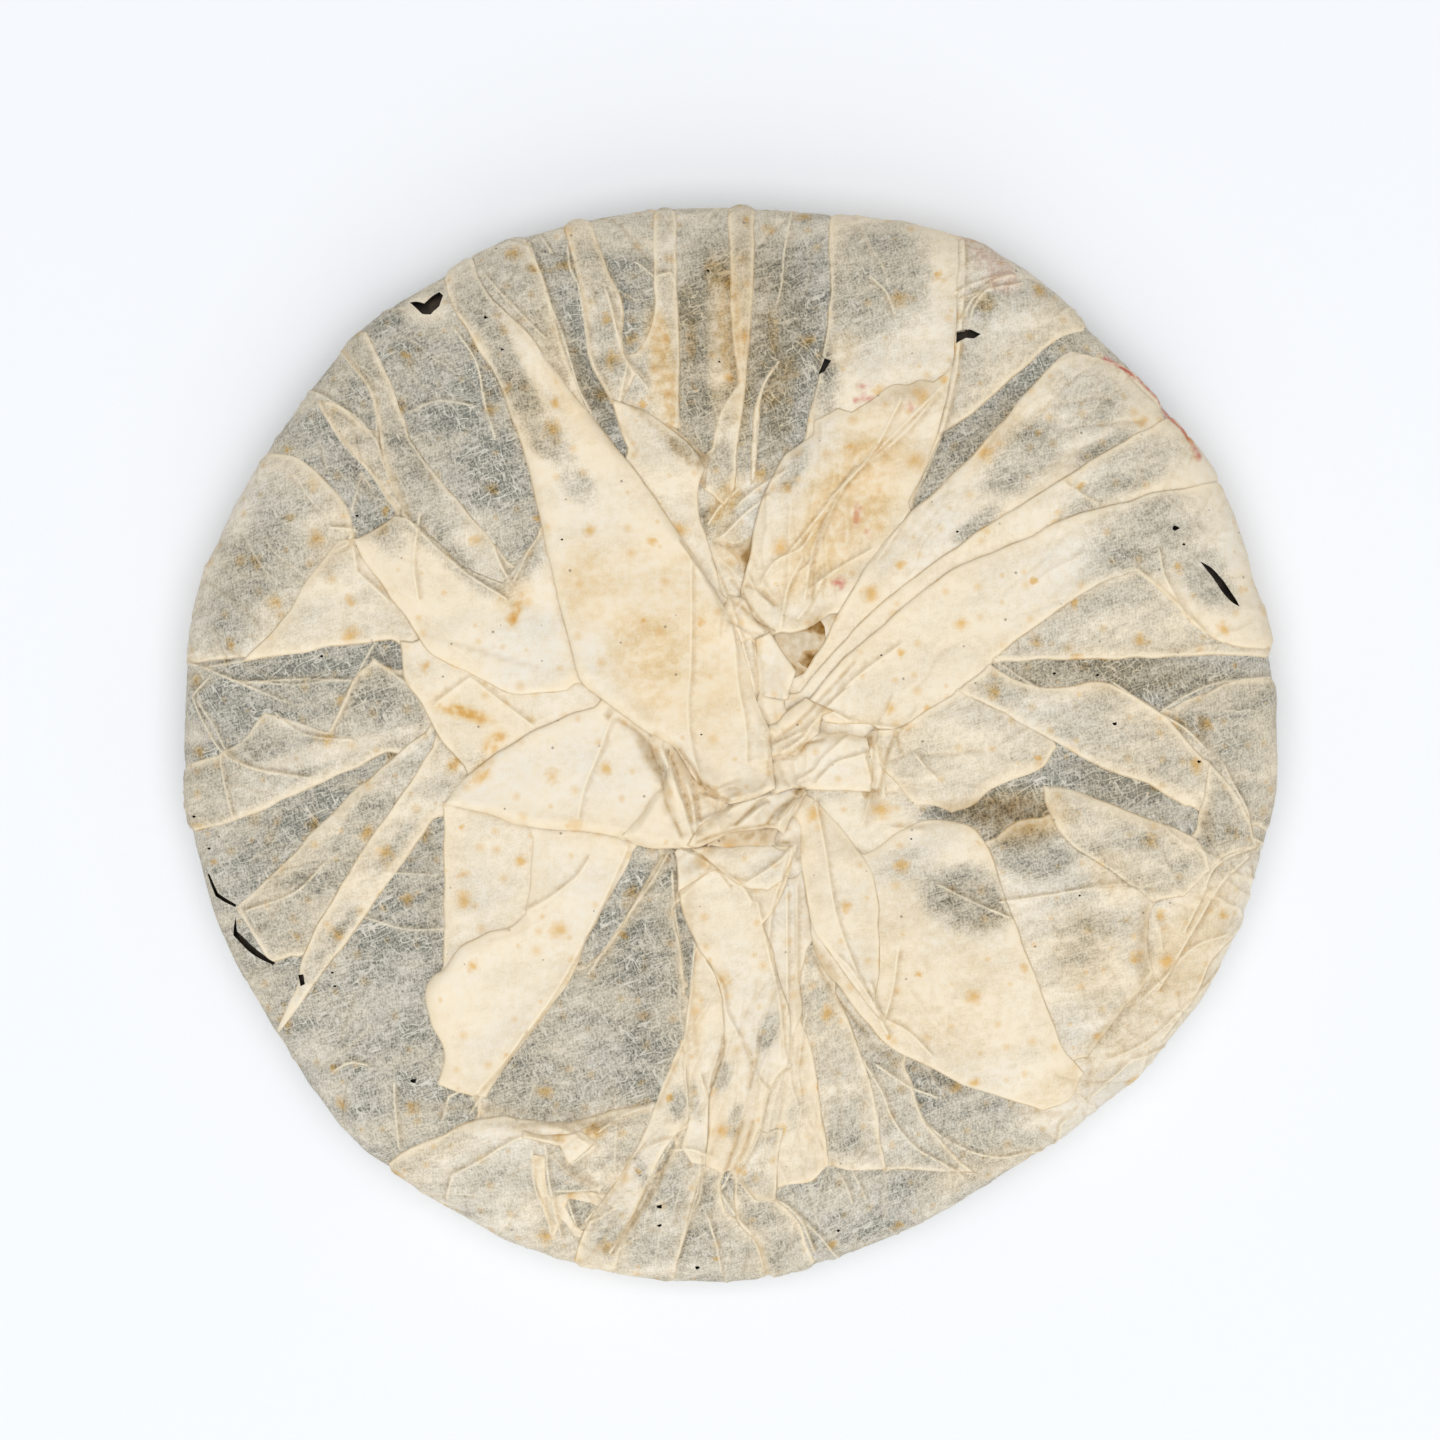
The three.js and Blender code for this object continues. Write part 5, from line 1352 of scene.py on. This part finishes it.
def paint_relief_shading(layer, level):
    """Paints shade where the surface lies below the level of its surroundings and a pale highlight where it
    stands above it.
    """
    above = layer.height - sample(level, layer.points)
    paint = layer.paint
    paint["shade"] = np.maximum(paint["shade"], SUNKEN_SHADE * smoothstep(0.08, 0.75, -above))
    paint["line"] = np.maximum(paint["line"], RAISED_HIGHLIGHT * smoothstep(0.12, 0.55, above))


def holes_in_all():
    """The tears and the small holes, as loops of the unrolled wrapper."""
    holes = [curve_through(unroll(loop), True, 0.5, corner=25.0) for loop in TEARS]
    turn = np.linspace(0.0, 2 * np.pi, SPECK_CORNERS, endpoint=False)
    for number, (x, y, width) in enumerate(SPECKS):
        ragged = width / 2 * (1.0 + 0.25 * np.sin(3 * turn + number))
        plan = np.column_stack((x + 1.2 * ragged * np.cos(turn), y + 0.85 * ragged * np.sin(turn)))
        holes.append(unroll(plan))
    return holes


def fold_region(fold, seed, later):
    """A fold's outline, slightly uneven, on the unrolled wrapper.

    later marks the cells that later folds cover."""
    loop = curve_through(fold.outline, True, 0.8)
    wobble = EDGE_WOBBLE * (noise(*loop.T, 3.5, seed) - 0.5)
    loop = unroll(loop + (beside(loop, True, 1.0) - loop) * wobble[:, None])
    following = np.roll(loop, -1, axis=0)
    if np.sum(loop[:, 0] * following[:, 1] - following[:, 0] * loop[:, 1]) < 0:
        loop = loop[::-1]
    met = later[cell_of(beside(loop, True, -1.1))].astype(float)
    met = (np.roll(met, 1) + 2 * met + np.roll(met, -1)) / 4
    return Region(loop + (beside(loop, True, -UNDER) - loop) * met[:, None])


def fold_regions():
    """The region of each fold, and the cells that cover the skin and each fold: see triangulate."""
    regions = []
    later = np.zeros(GRID_SHAPE, bool)
    covered = [np.zeros(GRID_SHAPE, np.int8)]
    for seed, fold in reversed(list(enumerate(FOLDS, start=FIRST_SEED))):
        region = fold_region(fold, seed, later)
        regions.insert(0, region)
        later |= region.within
        under = region.within * ((region.gap > TUCK).astype(np.int8) + (region.gap > 2 * TUCK))
        covered.insert(0, np.maximum(covered[0], under))
    return regions, covered


def build_layers():
    """The skin and every fold, meshed and stacked."""
    drawing = Drawing()
    tears = holes_in_all()
    regions, covered = fold_regions()

    def meshed(region, holes, over):
        lines = [crease.line for crease in drawing.creases_in(region.loop)]
        return triangulate(region, holes, lines, over)

    skin = Region(SKIN_WAY * circle(SKIN_CORNERS))
    points, faces = meshed(skin, tears, covered[0])
    layers = [drawing.layer("skin", skin, points, faces, crumpled(points, SKIN_SEED), SKIN_SHOW)]
    stack = crumpled(GRID_POINTS.reshape(-1, 2), SKIN_SEED).reshape(GRID_SHAPE)

    for seed, (fold, region, over) in enumerate(zip(FOLDS, regions, covered[1:]), start=FIRST_SEED):
        near, smooth = drape(stack)
        holes = [tear for tear in tears if np.any(inside(tear, region.loop))]
        points, faces = meshed(region, holes, over)
        height = fold_height(fold, seed, points, region.measure(points), sample(near, points),
                             sample(smooth, points))
        layers.append(drawing.layer(fold.name, region, points, faces, height, fold.show, fold.tone))

        box = region.box()
        cells, gap = GRID_POINTS[box].reshape(-1, 2), region.gap[box].ravel()
        raised = fold_height(fold, seed, cells, gap, near[box].ravel(), smooth[box].ravel())
        raised = raised.reshape(stack[box].shape)
        stack[box] = np.where(region.within[box], raised, stack[box])
    level = blurred(stack, RELIEF_BLUR)
    for layer in layers:
        paint_relief_shading(layer, level)
    return layers


def sheet_place(points, number):
    """Where a point lies on its own sheet, so that fibres end at a fold's edge."""
    x, y = points.T
    return np.column_stack((x + 331.7 * number, y + 173.9 * number, np.zeros(len(points))))


def mesh_piece(name, places, faces, material, paint, sheets):
    """A smooth-shaded object in the frame's metres, with painted values on its points."""
    mesh = bpy.data.meshes.new(name)
    mesh.from_pydata((places * MM).tolist(), [], faces)
    mesh.shade_smooth()
    for key, values in paint.items():
        layer = mesh.attributes.new(key, "FLOAT", "POINT")
        layer.data.foreach_set("value", np.asarray(values, np.float32))
    layer = mesh.attributes.new("sheet", "FLOAT_VECTOR", "POINT")
    layer.data.foreach_set("vector", np.asarray(sheets, np.float32).ravel())
    mesh.materials.append(material)
    piece = bpy.data.objects.new(name, mesh)
    bpy.context.collection.objects.link(piece)
    return piece


# ---------------------------------------------------------------------------------------------------
# Materials
# ---------------------------------------------------------------------------------------------------
class Shader:
    """Short names for the nodes of one material."""

    def __init__(self, name):
        self.material = bpy.data.materials.new(name)
        self.material.use_nodes = True
        self.nodes = self.material.node_tree.nodes
        self.links = self.material.node_tree.links
        self.surface = self.nodes["Principled BSDF"]

    def put(self, value, socket):
        if isinstance(value, bpy.types.NodeSocket):
            self.links.new(value, socket)
        else:
            socket.default_value = value

    def node(self, kind, inputs=None, **settings):
        node = self.nodes.new(kind)
        for key, value in settings.items():
            setattr(node, key, value)
        for key, value in (inputs or {}).items():
            self.put(value, node.inputs[key])
        return node

    def painted(self, name, output="Fac"):
        return self.node("ShaderNodeAttribute", attribute_name=name).outputs[output]

    def drawn(self, place, heading, length, width):
        """Place turned and stretched: features of 1 mm get this length along the heading, and width."""
        turn = (0.0, 0.0, math.radians(heading))
        inputs = {"Vector": place, "Rotation": turn, "Scale": (length, width, 1.0)}
        return self.node("ShaderNodeMapping", inputs, vector_type="TEXTURE").outputs[0]

    def noise(self, place, size, detail=0.0):
        inputs = {"Vector": place, "Scale": 1.0 / size, "Detail": detail, "Roughness": 0.55}
        return self.node("ShaderNodeTexNoise", inputs, noise_dimensions="2D").outputs[0]

    def math(self, operation, a, b=0.0, c=0.0):
        return self.node("ShaderNodeMath", {0: a, 1: b, 2: c}, operation=operation).outputs[0]

    def add(self, a, b):
        return self.math("ADD", a, b)

    def times(self, a, b):
        return self.math("MULTIPLY", a, b)

    def range(self, value, low, high, to_low=0.0, to_high=1.0):
        inputs = {"Value": value, "From Min": low, "From Max": high, "To Min": to_low, "To Max": to_high}
        return self.node("ShaderNodeMapRange", inputs).outputs[0]

    def mix(self, share, a, b, blend="MIX"):
        node = self.node("ShaderNodeMix", data_type="RGBA", blend_type=blend)
        for key, value in ((0, share), (6, a), (7, b)):
            self.put(value, node.inputs[key])
        return node.outputs[2]

    def stained(self, share, colour, stain):
        """A colour under a share of a see-through stain."""
        return self.mix(share, colour, self.mix(1.0, colour, stain, "MULTIPLY"))

    def thread(self, place, width):
        """Thin winding lines: where a noise passes its middle."""
        away = self.math("ABSOLUTE", self.math("SUBTRACT", self.noise(place, 1.0, 1.0), 0.5))
        return self.range(away, 0.0, width, 1.0, 0.0)

    def spots(self, place, ragged, size, least, most, share):
        """Round spots of uneven size: share of the cells of a size hold one, from least to most of it."""
        inputs = {"Vector": place, "Scale": 1.0 / size}
        cells = self.node("ShaderNodeTexVoronoi", inputs, voronoi_dimensions="2D")
        chance = self.node("ShaderNodeSeparateColor", {0: cells.outputs["Color"]})
        chosen = self.math("LESS_THAN", chance.outputs[0], share)
        reach = self.range(chance.outputs[1], 0.0, 1.0, least, most)
        gap = self.math("DIVIDE", self.add(cells.outputs["Distance"], ragged), reach)
        return self.times(chosen, self.range(gap, 0.1, 1.4, 1.0, 0.0))


CREAM = (0.885, 0.795, 0.64, 1)
CREAM_PALE = (0.84, 0.80, 0.715, 1)
CREAM_DEEP = (0.88, 0.74, 0.52, 1)
# the pale line of doubled hems and creases, and of painted highlights
PALE_LINE_AND_HIGHLIGHT = (0.94, 0.83, 0.62, 1)
GREY_DARK = (0.155, 0.152, 0.127, 1)
GREY_LIGHT = (0.40, 0.388, 0.33, 1)
FIBRE = (0.80, 0.76, 0.66, 1)
FOX = (0.84, 0.57, 0.19, 1)
RUST = (0.90, 0.69, 0.36, 1)
# the colour that painted shade multiplies into the tissue
SHADE_BROWN = (0.42, 0.26, 0.04, 1)
RED = (0.55, 0.07, 0.05, 1)
DUST = (0.05, 0.04, 0.03, 1)
LEAF_DARK = (0.012, 0.010, 0.008, 1)
LEAF_TIP = (0.07, 0.048, 0.03, 1)
TABLE = (0.90, 0.92, 0.95, 1)

# Features of the tissue: heading, and length and width in mm
CLOUD = (12.0, 13.0, 5.5)  # where the tissue is thicker and thinner
WEFT = (18.0, 1.9, 0.30)
WARP = (97.0, 1.2, 0.32)
FIBRES_ALONG = (24.0, 7.0, 2.0)
FIBRES_ACROSS = (118.0, 6.0, 1.8)
MOTTLE_SIZE = 1.7
GRAIN_SIZE = 0.42
TINT_SIZE = 26.0
BUMP = 0.06  # height of the weave in mm


def tissue_material():
    """Aged long-fibre tissue: cream where it is folded over, grey where the tea shows through one layer."""
    s = Shader("tissue")
    place = s.painted("sheet", "Vector")
    line, shade, stain, mark = (s.painted(name) for name in ("line", "shade", "stain", "mark"))
    cloud = s.noise(s.drawn(place, *CLOUD), 1.0, 3.0)
    mottle = s.noise(place, MOTTLE_SIZE, 1.0)
    tint = s.noise(place, TINT_SIZE, 2.0)
    strands = s.add(s.noise(s.drawn(place, *WEFT), 1.0), s.noise(s.drawn(place, *WARP), 1.0))
    grain = s.add(s.times(s.times(strands, 0.5), 0.45), s.times(s.noise(place, GRAIN_SIZE, 1.0), 0.55))

    # How much of the tea shows through
    uneven = s.add(s.range(cloud, 0.25, 0.75, -0.26, 0.26), s.range(mottle, 0.25, 0.75, -0.10, 0.10))
    uneven = s.add(uneven, s.range(grain, 0.34, 0.66, 0.12, -0.12))
    show = s.painted("show")
    show = s.math("MULTIPLY_ADD", uneven, s.range(show, 0.04, 0.34, 0.22, 1.0), show)
    show = s.range(show, 0.05, 0.95)
    cream = s.mix(s.range(tint, 0.30, 0.52, 0.7, 0.0), CREAM, CREAM_PALE)
    cream = s.mix(s.range(tint, 0.50, 0.78, 0.0, 0.45), cream, CREAM_DEEP)
    cream = s.mix(s.range(mottle, 0.30, 0.75, 0.0, 0.40), cream, CREAM_DEEP)
    grey = s.mix(s.range(grain, 0.34, 0.66), GREY_DARK, GREY_LIGHT)
    colour = s.mix(show, cream, grey)

    # The long fibres
    along = s.thread(s.drawn(place, *FIBRES_ALONG), 0.026)
    across = s.thread(s.drawn(place, *FIBRES_ACROSS), 0.023)
    fibres = s.times(s.math("MAXIMUM", along, across), s.range(cloud, 0.38, 0.62, 0.40, 1.0))
    colour = s.mix(s.times(fibres, s.range(show, 0.0, 1.0, 0.15, 0.85)), colour, FIBRE)

    # Water stains, foxing and dust
    blotch = s.times(s.range(cloud, 0.32, 0.62, 0.45, 1.0), s.range(mottle, 0.25, 0.62, 0.70, 1.0))
    colour = s.stained(s.times(stain, blotch), colour, RUST)
    heavy = s.times(s.range(stain, 0.60, 1.0, 0.0, 0.55), s.range(mottle, 0.30, 0.60))
    colour = s.stained(heavy, colour, FOX)
    ragged = s.range(mottle, 0.25, 0.75, -0.05, 0.05)
    small = s.times(s.spots(place, ragged, 5.0, 0.07, 0.20, 0.50), 0.45)
    large = s.times(s.spots(place, ragged, 13.0, 0.04, 0.13, 0.65), 0.80)
    colour = s.stained(s.math("MAXIMUM", small, large), colour, FOX)
    colour = s.mix(s.times(s.spots(place, 0.0, 9.0, 0.012, 0.03, 0.4), 0.8), colour, DUST)

    # Pale lines of doubled hems and creases and painted highlights, painted brown shade, and print
    colour = s.mix(s.times(line, s.range(cloud, 0.36, 0.60, 0.45, 0.85)), colour, PALE_LINE_AND_HIGHLIGHT)
    shade = s.times(shade, s.range(mottle, 0.30, 0.70, 0.75, 1.15))
    colour = s.stained(shade, colour, SHADE_BROWN)
    colour = s.stained(s.range(shade, 0.5, 1.0, 0.0, 0.8), colour, SHADE_BROWN)
    colour = s.mix(s.times(mark, s.range(mottle, 0.35, 0.55, 0.45, 1.0)), colour, RED)
    s.put(colour, s.surface.inputs["Base Color"])

    s.surface.inputs["Roughness"].default_value = 0.85
    s.surface.inputs["Specular IOR Level"].default_value = 0.25
    bump = s.node("ShaderNodeBump", {"Strength": 1.0, "Distance": BUMP * MM, "Height": grain})
    s.put(bump.outputs[0], s.surface.inputs["Normal"])
    return s.material


def tea_material():
    """Dry pressed leaves: near black, with brown tips."""
    s = Shader("pressed_tea")
    leaf = s.range(s.noise(s.painted("sheet", "Vector"), 2.5, 3.0), 0.3, 0.75)
    s.put(s.mix(leaf, LEAF_DARK, LEAF_TIP), s.surface.inputs["Base Color"])
    s.surface.inputs["Roughness"].default_value = 0.7
    return s.material


def table_material():
    """Pale, plain and hardly shiny."""
    s = Shader("table")
    s.surface.inputs["Base Color"].default_value = TABLE
    s.surface.inputs["Roughness"].default_value = 0.7
    s.surface.inputs["Specular IOR Level"].default_value = 0.2
    return s.material


# ---------------------------------------------------------------------------------------------------
# Pieces
# ---------------------------------------------------------------------------------------------------
FRONT_RINGS = 34
FRONT_SHOW = 0.43  # how much of the tea shows through the front
TEA_RINGS = 130
TEA_CORNERS = 360  # of each ring
TEA_DEPTH = 1.3  # of the leaves under the cake's form
LEAF_HEIGHT = 0.8
LEAF_SIZES = (4.0, 2.4)

WORLD_COLOUR = (0.97, 0.985, 1.0, 1)
WORLD_STRENGTH = 0.42
LAMPS = (  # place and size in metres, and power in watts
    ("overhead", (0.0, -0.2, 2.6), (3.0, 2.4), 47.0),
    ("front", (0.2, -2.6, 2.0), (2.6, 2.0), 24.0),
)
TABLE_WIDTH = 6.0  # metres


def make_wrapper(name, layers, first_number, material):
    """Joins layers into one piece."""
    places = np.concatenate([wrap(layer.points, layer.height) for layer in layers])
    starts = np.cumsum([0] + [len(layer.points) for layer in layers[:-1]])
    faces = np.concatenate([layer.faces + start for layer, start in zip(layers, starts)])
    paint = {key: np.concatenate([layer.paint[key] for layer in layers]) for key in layers[0].paint}
    sheets = [sheet_place(layer.points, n) for n, layer in enumerate(layers, start=first_number)]
    piece = mesh_piece(name, places, faces.tolist(), material, paint, np.concatenate(sheets))
    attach(piece, "root")
    return piece


def rings(ways, count):
    """Rings of points on the unrolled wrapper, and the squares between them."""
    points = (ways[:, None, None] * circle(count)).reshape(-1, 2)
    ring, i = np.meshgrid(np.arange(len(ways) - 1), np.arange(count), indexing="ij")
    j = (i + 1) % count
    corners = (ring * count + i, ring * count + j, (ring + 1) * count + j, (ring + 1) * count + i)
    return points, np.stack(corners, axis=-1).reshape(-1, 4)


def make_front(material):
    """The smooth front that the cake lies on. Its wrinkles fade from the skin's edge inwards."""
    ways = np.linspace(SKIN_WAY, SECTION.way[-1] - 0.5, FRONT_RINGS)
    points, sides = rings(ways, SKIN_CORNERS)
    fade = np.repeat(np.linspace(1.0, 0.0, FRONT_RINGS), SKIN_CORNERS)
    first = np.tile(points[:SKIN_CORNERS], (FRONT_RINGS, 1))
    height = crumpled(first, SKIN_SEED) * fade * fade
    paint = {key: np.zeros(len(points)) for key in ("show", "line", "shade", "stain", "mark")}
    paint["show"] += FRONT_SHOW
    places, sheets = wrap(points, height), sheet_place(points, 0)
    piece = mesh_piece("wrapper_front", places, sides.tolist(), material, paint, sheets)
    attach(piece, "root")
    return piece


def make_tea(material):
    """The pressed leaves under the wrapper."""
    ways = np.linspace(1.0, SECTION.way[-1] - 1.0, TEA_RINGS)
    points, sides = rings(ways, TEA_CORNERS)
    middle = list(range(TEA_CORNERS))[::-1]
    front = [(TEA_RINGS - 1) * TEA_CORNERS + i for i in range(TEA_CORNERS)]
    faces = [*sides.tolist(), middle, front]
    wide, fine = LEAF_SIZES
    height = LEAF_HEIGHT * crumple(*points.T, wide, 5) * crumple(*points.T, fine, 6) - TEA_DEPTH
    piece = mesh_piece("pressed_tea", wrap(points, height), faces, material, {}, sheet_place(points, 0))
    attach(piece, "root")
    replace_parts(piece, "tea_cake")
    return piece


def softbox(name, place, size, power):
    """A rectangular lamp that faces the cake."""
    light = bpy.data.lights.new(name, "AREA")
    light.shape = "RECTANGLE"
    light.size, light.size_y = size
    light.energy = power
    lamp = bpy.data.objects.new(name, light)
    lamp.location = place
    lamp.rotation_euler = (-Vector(place)).to_track_quat("-Z", "Y").to_euler()
    bpy.context.collection.objects.link(lamp)


def make_studio():
    """The table, the light and the camera."""
    bpy.ops.mesh.primitive_plane_add(size=TABLE_WIDTH, location=(0, 0, 0))
    table = bpy.context.object
    table.name = "table"
    table.data.materials.append(table_material())

    world = bpy.data.worlds.new("studio")
    bpy.context.scene.world = world
    world.use_nodes = True
    background = world.node_tree.nodes["Background"]
    background.inputs["Color"].default_value = WORLD_COLOUR
    background.inputs["Strength"].default_value = WORLD_STRENGTH
    for lamp in LAMPS:
        softbox(*lamp)

    camera = bpy.data.cameras.new("camera")
    camera.lens = LENS
    camera.sensor_width = SENSOR
    camera.clip_start, camera.clip_end = 0.01, 10.0
    eye = bpy.data.objects.new("camera", camera)
    eye.location = (CAMERA_MIDDLE[0] * MM, CAMERA_MIDDLE[1] * MM, (BACK_LEVEL + CAMERA_DISTANCE) * MM)
    bpy.context.collection.objects.link(eye)
    bpy.context.scene.camera = eye
    bpy.context.scene.view_settings.view_transform = "Standard"


LOWER = 30  # the folds below this layer make one piece, the rest another
tissue = tissue_material()
wrapper_layers = build_layers()
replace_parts(make_wrapper("wrapper_skin", wrapper_layers[:1], 0, tissue), "paper_wrapper")
make_wrapper("wrapper_lower_folds", wrapper_layers[1:LOWER], 1, tissue)
make_wrapper("wrapper_upper_folds", wrapper_layers[LOWER:], LOWER, tissue)
make_front(tissue)
make_tea(tea_material())
make_studio()
